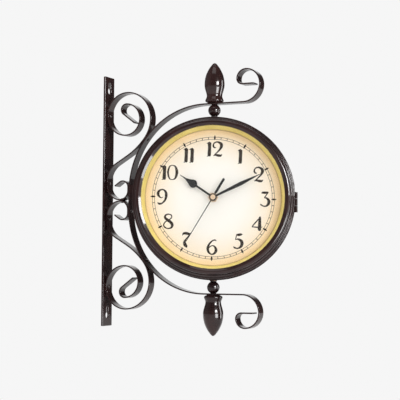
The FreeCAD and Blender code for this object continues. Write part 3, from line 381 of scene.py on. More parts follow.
@dataclass(frozen=True)
class GoldPaint:
    """Satin gold leaf colour on the sloping inner ring, with turning lines."""

    name: str
    light: Colour = (0.95, 0.83, 0.25)
    deep: Colour = (0.86, 0.73, 0.19)
    dirt: Colour = (0.25, 0.15, 0.04)
    lines_across: float = 90.0
    cloud_waves: float = 34.0
    metal: float = 0.15
    roughness: float = 0.30

    def build(self) -> bpy.types.Material:
        """Make the material.

        Fine rings follow the mesh's own share across the outline; a painted shade darkens
        the rounded edges, which sit in the creases at the dial and under the bezel.

        Returns:
            The material.
        """
        graph = Graph.named(self.name)
        ring = graph.attribute("across")
        lines = graph.value("ShaderNodeTexNoise", {"W": ring * self.lines_across,
                                                   "Scale": 1.0, "Detail": 3.0},
                            {"noise_dimensions": "1D"})
        broad = graph.noise(graph.place(), self.cloud_waves, 3.0)
        edge = graph.attribute("edge")
        colour = graph.blend(broad.step(0.3, 0.75), self.deep, self.light)
        # painted shade in the creases: darker on the edges at the dial and under the bezel
        colour = graph.blend(edge * 0.5, colour, self.dirt)
        return graph.surface(Base_Color=colour, Metallic=self.metal,
                             Roughness=lines * 0.12 + self.roughness,
                             Normal=graph.bump(lines, 0.06, 0.0003))


@dataclass(frozen=True)
class DialPaper:
    """Cream card with an amber vignette round its edge and a faint tooth."""

    name: str
    turn: float
    centre: Colour = (0.985, 0.955, 0.895)
    peach: Colour = (0.965, 0.790, 0.590)
    amber: Colour = (0.950, 0.640, 0.280)
    shade: Colour = (0.30, 0.20, 0.08)
    edge: float = 93.5
    cloud_waves: float = 22.0
    wander: float = 0.10
    peach_cover: float = 0.74
    amber_cover: float = 0.72
    shade_cover: float = 0.40
    line_cover: float = 0.60
    tooth_waves: float = 1500.0
    roughness: float = 0.55

    def build(self) -> bpy.types.Material:
        """Make the material.

        The colour goes from cream to peach to amber with the distance from the centre over
        the card's radius, which a soft noise makes uneven.  A painted shadow of the bezel
        lies at the right edge, and a thin painted shadow line runs all round where the gold
        ring stands on the card.

        Returns:
            The material.
        """
        graph = Graph.named(self.name)
        flat = graph.place((1.0, 0.0, 1.0), self.turn, (AXIS_X * MM, 0.0, 0.0))
        radius = graph.value("ShaderNodeVectorMath", {0: flat}, {"operation": "LENGTH"},
                             "Value")
        apart = graph.add("ShaderNodeSeparateXYZ", {"Vector": flat})
        across = Signal(graph, apart.outputs["X"]) / (radius + SMALL)
        up = Signal(graph, apart.outputs["Z"]) / (radius + SMALL)
        cloud = graph.noise(graph.place(), self.cloud_waves, 3.0)
        exact = radius / (self.edge * MM)
        reach = exact + (cloud - 0.5) * self.wander
        cover = reach.step(0.40, 0.95) * self.peach_cover
        colour = graph.blend(cover, self.centre, self.peach)
        cover = reach.step(0.80, 1.02) * self.amber_cover
        colour = graph.blend(cover, colour, self.amber)
        # painted shadow: the bezel's cast shadow darkens the card's right edge
        right = (across * 0.9 - up * 0.35).step(0.25, 1.0)
        cover = reach.step(0.93, 1.03) * right * self.shade_cover
        colour = graph.blend(cover, colour, self.shade)
        # painted shadow: a thin dark line all round where the gold ring meets the card
        cover = exact.step(0.982, 0.994) * self.line_cover
        colour = graph.blend(cover, colour, self.shade)
        tooth = graph.noise(graph.place(), self.tooth_waves, 3.0)
        colour = graph.blend(tooth.step(0.40, 0.75) * 0.05, colour, self.peach, "MULTIPLY")
        return graph.surface(Base_Color=colour, Roughness=tooth * 0.1 + self.roughness,
                             Normal=graph.bump(tooth, 0.08, 0.0002),
                             Specular_IOR_Level=0.25)


@dataclass(frozen=True)
class Ink:
    """Printed ink, dark brown, with slightly broken cover."""

    name: str
    colour: Colour = (0.022, 0.0115, 0.0045)
    thinning: float = 2.2
    break_waves: float = 2200.0

    def build(self) -> bpy.types.Material:
        """Make the material.

        Returns:
            The material.
        """
        graph = Graph.named(self.name)
        cover = graph.noise(graph.place(), self.break_waves, 2.0).step(0.30, 0.80)
        thin = tuple(self.thinning * part for part in self.colour)
        return graph.surface(Base_Color=graph.blend(cover * 0.35, self.colour, thin),
                             Roughness=cover * 0.1 + 0.55, Specular_IOR_Level=0.12)


@dataclass(frozen=True)
class HandBlack:
    """Matt black stoved sheet."""

    name: str
    colour: Colour = (0.0060, 0.0058, 0.0056)
    dust: float = 1.7
    grain_waves: float = 1600.0

    def build(self) -> bpy.types.Material:
        """Make the material.

        Returns:
            The material.
        """
        graph = Graph.named(self.name)
        grain = graph.noise(graph.place(), self.grain_waves, 3.0)
        tone = graph.blend(grain.step(0.35, 0.7), self.colour,
                           tuple(self.dust * part for part in self.colour))
        return graph.surface(Base_Color=tone, Roughness=grain * 0.2 + 0.50,
                             Specular_IOR_Level=0.10,
                             Normal=graph.bump(grain, 0.08, 0.0002))


@dataclass(frozen=True)
class BareMetal:
    """Turned or rolled metal: fine lines along one axis, with a few stains."""

    name: str
    light: Colour
    dark: Colour
    roughness: float
    lines: tuple[float, float, float] = (1.0, 1.0, 30.0)
    line_shade: float = 0.82
    line_waves: float = 90.0
    stain_waves: float = 120.0
    stain_cover: float = 0.4

    def build(self) -> bpy.types.Material:
        """Make the material.

        The lines are noise stretched by the scales of the three axes.

        Returns:
            The material.
        """
        graph = Graph.named(self.name)
        drawn = graph.noise(graph.place(self.lines, REST_TURN), self.line_waves, 3.0)
        stain = graph.noise(graph.place(), self.stain_waves, 4.0, 0.6).step(0.45, 0.75)
        colour = graph.blend(drawn.step(0.3, 0.7), self.light,
                             tuple(self.line_shade * part for part in self.light))
        colour = graph.blend(stain * self.stain_cover, colour, self.dark)
        return graph.surface(Base_Color=colour, Metallic=1.0,
                             Roughness=drawn * 0.12 + stain * 0.1 + self.roughness,
                             Normal=graph.bump(drawn, 0.08, 0.0002))


@dataclass(frozen=True)
class Moulded:
    """Injection moulded plastic with a spark eroded grain."""

    name: str
    colour: Colour
    roughness: float = 0.45
    grain_waves: float = 2600.0
    flow_light: float = 1.22

    def build(self) -> bpy.types.Material:
        """Make the material.

        Faint lighter streaks show where the melt flowed.

        Returns:
            The material.
        """
        graph = Graph.named(self.name)
        spot = graph.place()
        grain = graph.noise(spot, self.grain_waves, 2.0)
        flow = graph.noise(spot, 70.0, 3.0).step(0.35, 0.75)
        pale = tuple(min(1.0, self.flow_light * part + 0.004) for part in self.colour)
        tone = graph.blend(flow * 0.5, self.colour, pale)
        return graph.surface(Base_Color=tone, Roughness=grain * 0.14 + self.roughness,
                             Normal=graph.bump(grain, 0.15, 0.0002))


@dataclass(frozen=True)
class Winding:
    """Enamelled copper wire wound along X of the clock."""

    name: str
    turn: float
    light: Colour = (0.72, 0.27, 0.11)
    gap: Colour = (0.16, 0.045, 0.02)
    wires_a_metre: float = 9000.0

    def build(self) -> bpy.types.Material:
        """Make the material.

        Each wire is one wave of a sine along the coil, with a painted shade in the grooves
        between the wires.

        Returns:
            The material.
        """
        graph = Graph.named(self.name)
        apart = graph.add("ShaderNodeSeparateXYZ", {"Vector": graph.place(turn=self.turn)})
        wave = (Signal(graph, apart.outputs["X"]) * self.wires_a_metre).math("SINE")
        ridge = wave * 0.5 + 0.5
        # painted shade: the grooves between the wires are darkened
        return graph.surface(Base_Color=graph.blend(ridge, self.gap, self.light),
                             Metallic=0.8, Roughness=ridge * -0.15 + 0.45,
                             Normal=graph.bump(ridge, 0.5, 0.0002))


@dataclass(frozen=True)
class ClearGlass:
    """Flat window glass: nearly clear straight on, brighter at a glance."""

    name: str
    clearest: float = 0.018
    glance: float = 0.55

    def build(self) -> bpy.types.Material:
        """Make the material.

        Its cover grows with the third power of the share that faces away.

        Returns:
            The material.
        """
        graph = Graph.named(self.name)
        facing = graph.value("ShaderNodeLayerWeight", {"Blend": 0.25}, output="Facing")
        film = graph.noise(graph.place(), 40.0, 4.0).step(0.5, 0.8)
        alpha = facing ** 3.0 * self.glance + film * 0.006 + self.clearest
        return graph.surface(Base_Color=(0.95, 0.98, 0.97), Alpha=alpha,
                             Roughness=film * 0.03 + 0.02, Specular_IOR_Level=0.8)


# ------------------------------------------------------------------ meshes from arrays


def unit(vectors: Points) -> Points:
    """Scale each row to length 1."""
    return vectors / np.maximum(np.linalg.norm(vectors, axis=-1, keepdims=True), SMALL)


FILLET_SHARE = 0.46  # the most of an edge that one fillet may take
FLAT_TURN = 0.02  # a turn in radians under which a corner stays sharp
PAD_SHARE = 0.04  # how far past a fillet its pad point lies, as a share of the edge
PAD_MOST = 0.12  # the most that it lies away, in millimetres


def rounded(corners: Sequence[Sequence[float]], steps: int = 5) -> tuple[Points, Points]:
    """A closed outline with filleted corners.

    Each corner is (x, y, radius).  A fillet is the arc that touches both edges: its ends lie
    radius * tan(turn / 2) from the corner, and its points follow sine and cosine of the
    turn.  One more point just beyond each end keeps the flats flat when shaded smooth.

    Args:
        corners: the outline's corners, in order.
        steps: segments of a fillet.

    Returns:
        The points, and the share of the edge mark at each, for rubbed edges and painted light
        on them.
    """
    spots = np.array([corner[:2] for corner in corners], float)
    radii = [corner[2] for corner in corners]
    points: list[Points] = []
    wear: list[Points] = []
    count = len(spots)
    for place, spot in enumerate(spots):
        before = spots[place - 1] - spot
        after = spots[(place + 1) % count] - spot
        room = min(np.linalg.norm(before), np.linalg.norm(after))
        before, after = unit(before), unit(after)
        turn = math.pi - math.acos(float(np.clip(before @ after, -1, 1)))
        if radii[place] <= 0 or turn < FLAT_TURN:
            points.append(spot[None])
            wear.append(np.zeros(1))
            continue
        reach = min(radii[place] * math.tan(turn / 2), FILLET_SHARE * room)
        radius = reach / math.tan(turn / 2)
        middle = spot + unit(before + after) * radius / math.cos(turn / 2)
        first = spot + before * reach - middle
        last = spot + after * reach - middle
        share = np.linspace(0, 1, steps + 1)[:, None]
        arc = (np.sin((1 - share) * turn) * first + np.sin(share * turn) * last)
        arc = middle + arc / math.sin(turn)
        pad = min(PAD_MOST, PAD_SHARE * room)
        ends = (spot + before * (reach + pad), spot + after * (reach + pad))
        points += [ends[0][None], arc, ends[1][None]]
        wear += [np.zeros(1), np.full(steps + 1, 1.0), np.zeros(1)]
    return np.vstack(points), np.concatenate(wear)


def grid_faces(rows: int, columns: int, wrap_rows: bool, wrap_columns: bool) -> Points:
    """Quads of a grid of points, whose index is row * columns + column.

    Args:
        rows: rows of points.
        columns: points in a row.
        wrap_rows: join the last row to the first.
        wrap_columns: join each row's end to its start.

    Returns:
        The quads.
    """
    down = np.arange(rows if wrap_rows else rows - 1)[:, None]
    along = np.arange(columns if wrap_columns else columns - 1)[None, :]
    below = (down + 1) % rows
    right = (along + 1) % columns
    quads = np.stack(np.broadcast_arrays(
        down * columns + along, down * columns + right,
        below * columns + right, below * columns + along), axis=-1)
    return quads.reshape(-1, 4)


@dataclass
class Form:
    """A mesh as plain arrays, in millimetres, before it is stood in its place."""

    points: Points
    faces: list = field(default_factory=list)
    marks: dict = field(default_factory=dict)

    def moved(self, turn: float = 0.0, at: Sequence[float] = (0, 0, 0)) -> "Form":
        """Turn the form about Z and then move it.

        Args:
            turn: the turn in degrees.
            at: where the origin goes.

        Returns:
            The moved form.
        """
        angle = math.radians(turn)
        cosine, sine = math.cos(angle), math.sin(angle)
        spin = np.array([[cosine, -sine, 0], [sine, cosine, 0], [0, 0, 1]])
        return Form(self.points @ spin.T + np.array(at, float), self.faces, self.marks)

    def flipped(self) -> "Form":
        """The mirror image below the level plane, with its faces turned to match.

        Returns:
            The mirrored form.
        """
        return Form(self.points * np.array([1, 1, -1]),
                    [tuple(reversed(face)) for face in self.faces], self.marks)

    def joined(self, *others: "Form") -> "Form":
        """This form and others as one mesh of separate shells.

        Args:
            others: the other forms.

        Returns:
            The joined form, where a form without a mark has zeros for it.
        """
        forms = [self, *others]
        points, faces, start = [], [], 0
        for form in forms:
            points.append(form.points)
            faces += [tuple(int(index) + start for index in face) for face in form.faces]
            start += len(form.points)
        names = set().union(*(form.marks for form in forms))
        marks = {name: np.concatenate([form.marks.get(name, np.zeros(len(form.points)))
                                       for form in forms]) for name in names}
        return Form(np.vstack(points), faces, marks)

    def build(self, name: str, material: bpy.types.Material, smooth: bool = True,
              recalculate: bool = True) -> bpy.types.Object:
        """Make the Blender object.

        Args:
            name: the object's name.
            material: its finish.
            smooth: shade it smooth.
            recalculate: turn all faces outwards.

        Returns:
            The object, at the origin, in metres.
        """
        mesh = bpy.data.meshes.new(name)
        faces = [tuple(map(int, face)) for face in self.faces]
        mesh.from_pydata((self.points * MM).tolist(), [], faces)
        for mark, values in self.marks.items():
            layer = mesh.attributes.new(mark, "FLOAT", "POINT")
            layer.data.foreach_set("value", np.asarray(values, np.float32))
        mesh.polygons.foreach_set("use_smooth", np.full(len(mesh.polygons), smooth))
        mesh.materials.append(material)
        mesh.validate()
        if recalculate:
            outward(mesh)
        made = bpy.data.objects.new(name, mesh)
        bpy.context.scene.collection.objects.link(made)
        return made


def outward(mesh: bpy.types.Mesh) -> None:
    """Turn every closed shell of a mesh outwards.

    Args:
        mesh: the mesh, which is changed in place.
    """
    work = bmesh.new()
    work.from_mesh(mesh)
    bmesh.ops.recalc_face_normals(work, faces=work.faces)
    work.to_mesh(mesh)
    work.free()


def lathe(outline: Points, wear: Points, segments: int, upright: bool) -> Form:
    """Turn a closed outline about an axis.

    A point (r, h) of the outline goes to r * cos(a), r * sin(a) round the axis and h along
    it.  Points with r of 0 are one pole, so that no ring closes on itself.

    Args:
        outline: (radius, height) points; for a dial-wise piece the height is the depth.
        wear: the share of the edge mark at each point, for rubbed edges and painted light on
            them.
        segments: segments of the full turn.
        upright: turn about Z, or else about the clock's face axis, depth towards -Y.

    Returns:
        The form.
    """
    angle = np.linspace(0, 2 * math.pi, segments, endpoint=False)
    radius, height = outline[:, 0], outline[:, 1]
    on_axis = radius < SMALL
    ring = np.stack([np.outer(radius, np.cos(angle)), np.outer(radius, np.sin(angle)),
                     np.outer(height, np.ones(segments))], axis=-1)
    if not upright:
        ring = np.stack([ring[..., 0], -ring[..., 2], ring[..., 1]], axis=-1)
    rows = len(outline)
    faces = grid_faces(rows, segments, True, True)
    index = np.arange(rows * segments).reshape(rows, segments)
    index[on_axis] = index[on_axis][:, :1]
    faces = index.reshape(-1)[faces]
    kept = []
    for quad in faces.tolist():
        corners = list(dict.fromkeys(quad))
        if len(corners) > 2:
            kept.append(tuple(corners))
    used = np.unique(index)
    renumber = np.zeros(rows * segments, int)
    renumber[used] = np.arange(len(used))
    points = ring.reshape(-1, 3)[used]
    marks = {"edge": np.repeat(wear, segments)[used],
             "across": np.repeat(np.linspace(0, 1, rows), segments)[used]}
    return Form(points, [tuple(int(renumber[i]) for i in face) for face in kept], marks)


def turned(corners: Sequence[Sequence[float]], segments: int = 256,
           upright: bool = False) -> Form:
    """Turn an outline with filleted corners.

    Args:
        corners: (radius, height, fillet) for each corner.
        segments: segments of the full turn.
        upright: turn about Z, or else about the clock's face axis.

    Returns:
        The form.
    """
    outline, wear = rounded(corners)
    return lathe(outline, wear, segments, upright)


def slab(outline: Points, low: float, thick: float) -> Form:
    """A flat piece parallel to the dial: an outline, extruded from one depth to another.

    Args:
        outline: (across, up) points, anticlockwise.
        low: the depth of its back.
        thick: its thickness.

    Returns:
        The form.
    """
    count = len(outline)
    back = np.stack([outline[:, 0], np.full(count, -low), outline[:, 1]], axis=1)
    front = back - np.array([0, thick, 0])
    around = [(i, (i + 1) % count, count + (i + 1) % count, count + i) for i in range(count)]
    caps = [tuple(range(count, 2 * count)), tuple(reversed(range(count)))]
    return Form(np.vstack([back, front]), around + caps)


# ------------------------------------------------------------------ bent strip


class Route:
    """The centre line of a bent strip in the X-Z plane, as runs and bends."""

    RUN_STEP = 6  # millimetres between the points of a run
    BEND_STEP = 3  # degrees between the points of a bend

    def __init__(self, x: float, z: float, heading: float) -> None:
        """Start a route.

        Args:
            x: where it starts along X.
            z: where it starts along Z.
            heading: the way it faces, in degrees from +X towards +Z.
        """
        self.at = np.array([x, z], float)
        self.heading = math.radians(heading)
        self.points = [self.at[None]]

    def run(self, length: float) -> "Route":
        """Go straight on: points at equal steps along the heading.

        Args:
            length: how far.

        Returns:
            The route, so that calls can follow on.
        """
        steps = max(1, int(length // self.RUN_STEP))
        share = np.linspace(0, 1, steps + 1)[1:, None]
        way = np.array([math.cos(self.heading), math.sin(self.heading)])
        self.points.append(self.at + share * way * length)
        self.at = self.points[-1][-1]
        return self

    def bend(self, radius: float, turn: float, left: bool) -> "Route":
        """Bend on a circle: the start turned about the centre in equal steps.

        Args:
            radius: the circle's radius.
            turn: degrees of the bend.
            left: bend to the left of travel, or else to the right.

        Returns:
            The route, so that calls can follow on.
        """
        side = 1 if left else -1
        normal = np.array([-math.sin(self.heading), math.cos(self.heading)]) * side
        centre = self.at + normal * radius
        whole = math.radians(turn) * side
        steps = max(2, int(abs(turn) // self.BEND_STEP))
        angle = np.linspace(0, whole, steps + 1)[1:]
        arm = self.at - centre
        spots = centre + np.stack([arm[0] * np.cos(angle) - arm[1] * np.sin(angle),
                                   arm[0] * np.sin(angle) + arm[1] * np.cos(angle)], axis=1)
        self.points.append(spots)
        self.at = spots[-1]
        self.heading += whole
        return self

    def line(self) -> Points:
        """All the points of the route."""
        return np.vstack(self.points)


def strip_form(line: Points, wide: float, thick: float, corner: float = 0.45) -> Form:
    """Carry a flat section with rounded corners along a line in the X-Z plane.

    The section's point (u, v) goes to the line's point plus u along Y and v along the
    line's normal.  Two more sections at each end, drawn in by the corner radius, round the
    cut ends.

    Args:
        line: the centre line.
        wide: the section's width, along Y.
        thick: its thickness.
        corner: its corner radius.

    Returns:
        The form.
    """
    section, wear = rounded([(-wide / 2, -thick / 2, corner), (wide / 2, -thick / 2, corner),
                             (wide / 2, thick / 2, corner), (-wide / 2, thick / 2, corner)], 3)
    tangent = unit(np.gradient(line, axis=0))
    shrink = np.ones(len(line))
    inward = np.array([[0.0], [0.3], [1.0]]) * corner
    sizes = np.array([0.0, 0.7, 1.0])
    for _ in range(2):
        ways = np.repeat(tangent[:1], 3, axis=0)
        line = np.vstack([line[0] + ways * inward, line[1:]])[::-1]
        tangent = -np.vstack([ways, tangent[1:]])[::-1]
        shrink = np.concatenate([sizes, shrink[1:]])[::-1]
    normal = np.stack([-tangent[:, 1], tangent[:, 0]], axis=1)
    inset = (1 - shrink)[:, None] * corner
    u = section[None, :, 0] - np.sign(section[None, :, 0]) * inset
    v = section[None, :, 1] - np.sign(section[None, :, 1]) * inset
    points = np.stack([line[:, None, 0] + normal[:, None, 0] * v, u,
                       line[:, None, 1] + normal[:, None, 1] * v], axis=-1)
    rows, columns = points.shape[:2]
    faces = [tuple(face) for face in grid_faces(rows, columns, False, True).tolist()]
    faces += [tuple(range(columns)), tuple(reversed(range((rows - 1) * columns,
                                                          rows * columns)))]
    return Form(points.reshape(-1, 3), faces, {"edge": np.tile(wear, rows)})


# ------------------------------------------------------------------ bracket


@dataclass
class Bracket:
    """The wall plate, the hooped arm, the two scrolls and their rivets."""

    material: bpy.types.Material
    wide: float = 15.0
    thick: float = 2.0
    plate_thick: float = 3.0
    plate_wide: float = 26.0
    plate_tall: float = 362.0
    wall_gap: float = 40.8
    rise: float = 132.4
    bend: float = 119.2
    spine: float = 13.2
    straight: float = 46.7
    curls: tuple = (24.6, 21.0, 13.0, 7.5)
    tail: float = 17.7
    touch: float = 141.7
    slope: float = 30.5
    sweep: float = 100.0
    foot: float = 28.5
    shoulder: float = 46.0
    outer: float = 39.0
    inner: tuple = (30.0, 23.0, 22.3)
    eye: float = 8.0
    eye_turn: float = 143.5
    eye_tail: float = 23.0
    hook_foot: float = 22.0
    hook_rise: float = 5.0
    hook_top: float = 9.0
    hook_turn: float = 125.0
    hook_tail: float = 9.5
    keyholes: tuple = (171.5, -154.5)
    keyhole_round: float = 4.5
    keyhole_slot: float = 2.5
    keyhole_run: float = 11.0
    plate_corner: float = 1.2
    plate_edge: float = 0.4
    rivet_radius: float = 2.7
    rivet_tall: float = 1.3
    rivet_ease: float = 0.12
    foot_ease: float = 0.35
    side_rivets: float = 15.2

    @property
    def bend_x(self) -> float:
        """How far out the centres of the arm's wide bends lie."""
        return self.wall_gap + self.bend

    @property
    def line_x(self) -> float:
        """How far out the strip lies where it is flat on the plate."""
        return self.plate_thick + self.thick / 2

    def arm(self) -> Form:
        """The hooped arm: a curl, a run, a wide bend, the upright, and back.

        Returns:
            The form.
        """
        first, second, third, fourth = self.curls
        run = AXIS_X + self.straight - self.bend_x
        route = Route(AXIS_X + self.straight + first - second - third + fourth + self.tail,
                      -(self.rise + first + second - third - fourth), 180.0)
        route.run(self.tail)
        for radius in reversed(self.curls):
            route.bend(radius, 90.0, True)
        route.run(run).bend(self.bend, 90.0, False).run(2 * self.spine)
        route.bend(self.bend, 90.0, False).run(run)
        for radius in self.curls:
            route.bend(radius, 90.0, True)
        return strip_form(route.run(self.tail).line(), self.wide, self.thick)

    def scroll(self) -> tuple[Form, float, float]:
        """The upper scroll: hook, foot, rise to the arm, shoulder and spiral.

        Its bends meet without a kink where it touches the arm, at the angle touch round the
        arm's wide bend, and where it lies flat on the plate.

        Returns:
            The form and the heights of its two rivets on the plate.
        """
        touch, slope = math.radians(self.touch), math.radians(self.slope)
        at_touch = touch - math.pi / 2
        touch_x = self.bend_x + (self.bend + self.thick) * math.cos(touch)
        touch_z = self.spine + (self.bend + self.thick) * math.sin(touch)
        low_x = touch_x - self.sweep * (math.sin(at_touch) - math.sin(slope))
        low_z = touch_z + self.sweep * (math.cos(at_touch) - math.cos(slope))
        foot_x = self.line_x + self.foot * (1 - math.sin(slope))
        run = (low_x - foot_x) / math.cos(slope)
        foot_z = low_z - run * math.sin(slope) - self.foot * math.cos(slope)
        right_x = touch_x + self.shoulder * (1 - math.sin(at_touch))
        right_z = touch_z + self.shoulder * math.cos(at_touch)
        side_x = self.wall_gap - self.thick
        hook_inner = side_x - self.line_x - self.hook_foot
        back = math.radians(180.0 - self.hook_turn)
        heading = self.hook_turn - 90.0
        top_x = side_x - self.hook_top * (1 + math.cos(back))
        top_z = self.thick / 2 + hook_inner + self.hook_rise + self.hook_top * math.sin(back)
        route = Route(top_x - self.hook_tail * math.cos(math.radians(heading)),
                      top_z - self.hook_tail * math.sin(math.radians(heading)), heading)
        route.run(self.hook_tail).bend(self.hook_top, self.hook_turn, False)
        route.run(self.hook_rise).bend(hook_inner, 90.0, False)
        route.bend(self.hook_foot, 90.0, False)
        route.run(foot_z - self.thick / 2 - self.hook_foot)
        route.bend(self.foot, 90.0 - self.slope, False).run(run)
        route.bend(self.sweep, self.touch - 90.0 - self.slope, True)
        route.bend(self.shoulder, 180.0 - self.touch, True).bend(self.outer, 90.0, True)
        fourth = right_x - self.outer - self.line_x
        route.bend(fourth, 90.0, True)
        for radius in self.inner:
            route.bend(radius, 90.0, True)
        route.bend(self.eye, self.eye_turn, True).run(self.eye_tail)
        form = strip_form(route.line(), self.wide, self.thick)
        heights = (right_z + self.outer - fourth,
                   (self.thick / 2 + self.hook_foot + foot_z) / 2)
        return form, heights[0], heights[1]

    def plate(self) -> bpy.types.Object:
        """The wall plate: a filled outline with two keyholes, given thickness and a bevel.

        Returns:
            The object.
        """
        half_wide, half_tall = self.plate_wide / 2, self.plate_tall / 2
        outline, _ = rounded([(across * half_wide, up * half_tall, self.plate_corner)
                              for across, up in ((-1, -1), (1, -1), (1, 1), (-1, 1))])
        curve = bpy.data.curves.new("plate_outline", "CURVE")
        curve.dimensions = "2D"
        curve.fill_mode = "BOTH"
        curve.extrude = (self.plate_thick / 2 - self.plate_edge) * MM
        curve.bevel_depth = self.plate_edge * MM
        curve.bevel_resolution = 2
        curve.offset = -self.plate_edge * MM
        for ring in [outline] + [self.keyhole(seat) for seat in self.keyholes]:
            loop = curve.splines.new("POLY")
            loop.points.add(len(ring) - 1)
            flat = np.column_stack([ring * MM, np.zeros(len(ring)), np.ones(len(ring))])
            loop.points.foreach_set("co", flat.ravel())
            loop.use_cyclic_u = True
        work = bpy.data.objects.new("plate_work", curve)
        bpy.context.scene.collection.objects.link(work)
        bpy.context.view_layer.update()
        found = bpy.context.evaluated_depsgraph_get()
        mesh = bpy.data.meshes.new_from_object(work.evaluated_get(found))
        bpy.data.objects.remove(work)
        mesh.transform(Matrix(((0, 0, 1, self.plate_thick / 2 * MM), (1, 0, 0, 0),
                               (0, 1, 0, 0), (0, 0, 0, 1))))
        made = bpy.data.objects.new("wall_plate_dressed", mesh)
        bpy.context.scene.collection.objects.link(made)
        mesh.materials.clear()
        mesh.materials.append(self.material)
        mesh.polygons.foreach_set("use_smooth", np.zeros(len(mesh.polygons), bool))
        layer = mesh.attributes.new("edge", "FLOAT", "POINT")
        layer.data.foreach_set("value", np.zeros(len(mesh.vertices), np.float32))
        return made

    def keyhole(self, seat: float) -> Points:
        """A keyhole's outline: a slot that ends in a half circle, with a round entry.

        Args:
            seat: the height of the slot's upper centre.

        Returns:
            The points.
        """
        slot, big = self.keyhole_slot, self.keyhole_round
        centre = seat - self.keyhole_run
        meet = math.asin(slot / big)
        top = np.linspace(0, math.pi, 13)
        low = np.linspace(math.pi / 2 + meet, 2.5 * math.pi - meet, 33)
        return np.vstack([
            np.stack([slot * np.cos(top), seat + slot * np.sin(top)], axis=1),
            np.stack([big * np.cos(low), centre + big * np.sin(low)], axis=1)])

    def rivet(self, at: Sequence[float], way: Sequence[float], reach: float) -> Form:
        """A dome head on its shank's end, from a (radius, height) outline.

        Args:
            at: the point on the joint's middle plane.
            way: the direction of the rivet.
            reach: how far along that direction the head's seat lies.

        Returns:
            The form.
        """
        head, tall = self.rivet_radius, self.rivet_tall
        dome = (head * head + tall * tall) / (2 * tall)
        angle = np.linspace(0, math.asin(head / dome), 7)
        cap = np.stack([dome * np.sin(angle), tall - dome + dome * np.cos(angle)], axis=1)
        outline = np.vstack([[[0.0, 0.0], [head - 0.25, 0.0], [head, 0.12]], cap[:0:-1],
                             [[0.0, tall]]])
        form = lathe(outline, np.zeros(len(outline)), 32, True)
        along = unit(np.array(way, float))
        side = unit(np.cross(along, [0, 1, 0]))
        basis = np.stack([side, np.cross(along, side), along])
        return Form(form.points @ basis + np.array(at) + along * reach, form.faces,
                    form.marks)

    def build(self) -> Iterable[Piece]:
        """Build every piece of the bracket.

        Returns:
            (object, body, replaced node) for each.
        """
        upper, big_height, foot_height = self.scroll()
        arm_rivets, plate_rivets = [], []
        strip_reach = self.thick + self.rivet_ease
        touch = math.radians(self.touch)
        for flip in (1, -1):
            way = np.array([math.cos(touch), 0, math.sin(touch) * flip])
            spot = np.array([self.bend_x, 0, self.spine * flip])
            spot = spot + way * (self.bend + self.thick / 2)
            arm_rivets += [self.rivet(spot, way, strip_reach),
                           self.rivet(spot, -way, strip_reach)]
            side = [self.wall_gap - self.thick / 2, 0, flip * self.side_rivets]
            arm_rivets += [self.rivet(side, [-1, 0, 0], strip_reach),
                           self.rivet(side, [1, 0, 0], strip_reach)]
            plate_rivets += [self.rivet([0, 0, height * flip], [1, 0, 0],
                                        self.plate_thick + strip_reach)
                             for height in (big_height, foot_height)]
        foot = [self.line_x + self.hook_foot, 0, 0]
        foot_reach = self.thick + self.foot_ease
        arm_rivets += [self.rivet(foot, [0, 0, 1], foot_reach),
                       self.rivet(foot, [0, 0, -1], foot_reach)]
        forms = {
            "hoop_arm": self.arm(), "upper_scroll": upper, "lower_scroll": upper.flipped(),
            "arm_rivets": arm_rivets[0].joined(*arm_rivets[1:]),
            "plate_rivets": plate_rivets[0].joined(*plate_rivets[1:]),
        }
        for node, form in forms.items():
            yield form.build(f"{node}_dressed", self.material), "bracket", node
        yield self.plate(), "bracket", "wall_plate"


# ------------------------------------------------------------------ pivots


FINIAL_KNOTS = ((12.6, 2.2), (13.0, 3.8), (12.2, 6.2), (11.0, 9.4), (11.3, 13.2), (12.7, 18.0),
                (13.8, 22.6), (14.1, 27.2), (13.6, 33.4), (12.1, 39.8), (10.1, 44.6),
                (7.5, 49.4), (4.4, 53.6), (2.3, 56.0), (0.0, 57.2))  # radius, height


@dataclass
class Turnings:
    """The finials and beads above and below the case."""

    material: bpy.types.Material
    foot: float = 133.4
    pin_room: float = 11.6
    bead_low: float = 115.2
    bead_high: float = 131.4
    bead_radius: float = 8.7
    bead_neck: float = 4.0
    bore: float = 2.52

    def finial(self) -> Form:
        """The acorn finial: a flared foot, a waist, a swelling belly and a round tip.

        Returns:
            The form: a smooth line through the knots, bored for the pin, and turned.
        """
        body = spline(np.array(FINIAL_KNOTS), 6)
        outline = np.vstack([[[self.bore, 0.0], [8.6, 0.0], [9.0, 0.08], [9.4, 0.4]], body,
                             [[0.0, self.pin_room], [self.bore, self.pin_room]]])
        outline = outline + np.array([0.0, self.foot])
        wear = np.zeros(len(outline))
        wear[2:7] = 1.0
        return lathe(outline, wear, 96, True)

    def bead(self) -> Form:
        """A round bead with short flat necks, bored for the pin.

        Returns:
            The form: an arc of a circle between the necks, turned.
        """
        centre = (self.bead_low + self.bead_high) / 2
        reach = math.acos(self.bead_neck / self.bead_radius)
        angle = np.linspace(-reach, reach, 41)
        ball = np.stack([self.bead_radius * np.cos(angle),
                         centre + self.bead_radius * np.sin(angle)], axis=1)
        outline = np.vstack([[[self.bore, self.bead_low], [self.bead_neck, self.bead_low]],
                             ball, [[self.bead_neck, self.bead_high],
                                    [self.bore, self.bead_high]]])
        return lathe(outline, np.zeros(len(outline)), 96, True)

    def build(self) -> Iterable[Piece]:
        """Build the four turned pieces.

        Returns:
            (object, body, replaced node) for each.
        """
        for what, form in (("finial", self.finial()), ("bead", self.bead())):
            for word, placed in (("top", form), ("bottom", form.flipped())):
                made = placed.moved(at=(AXIS_X, 0, 0)).build(f"{word}_{what}_dressed",
                                                             self.material)
                yield made, "bracket", f"{word}_{what}"


# ------------------------------------------------------------------ case


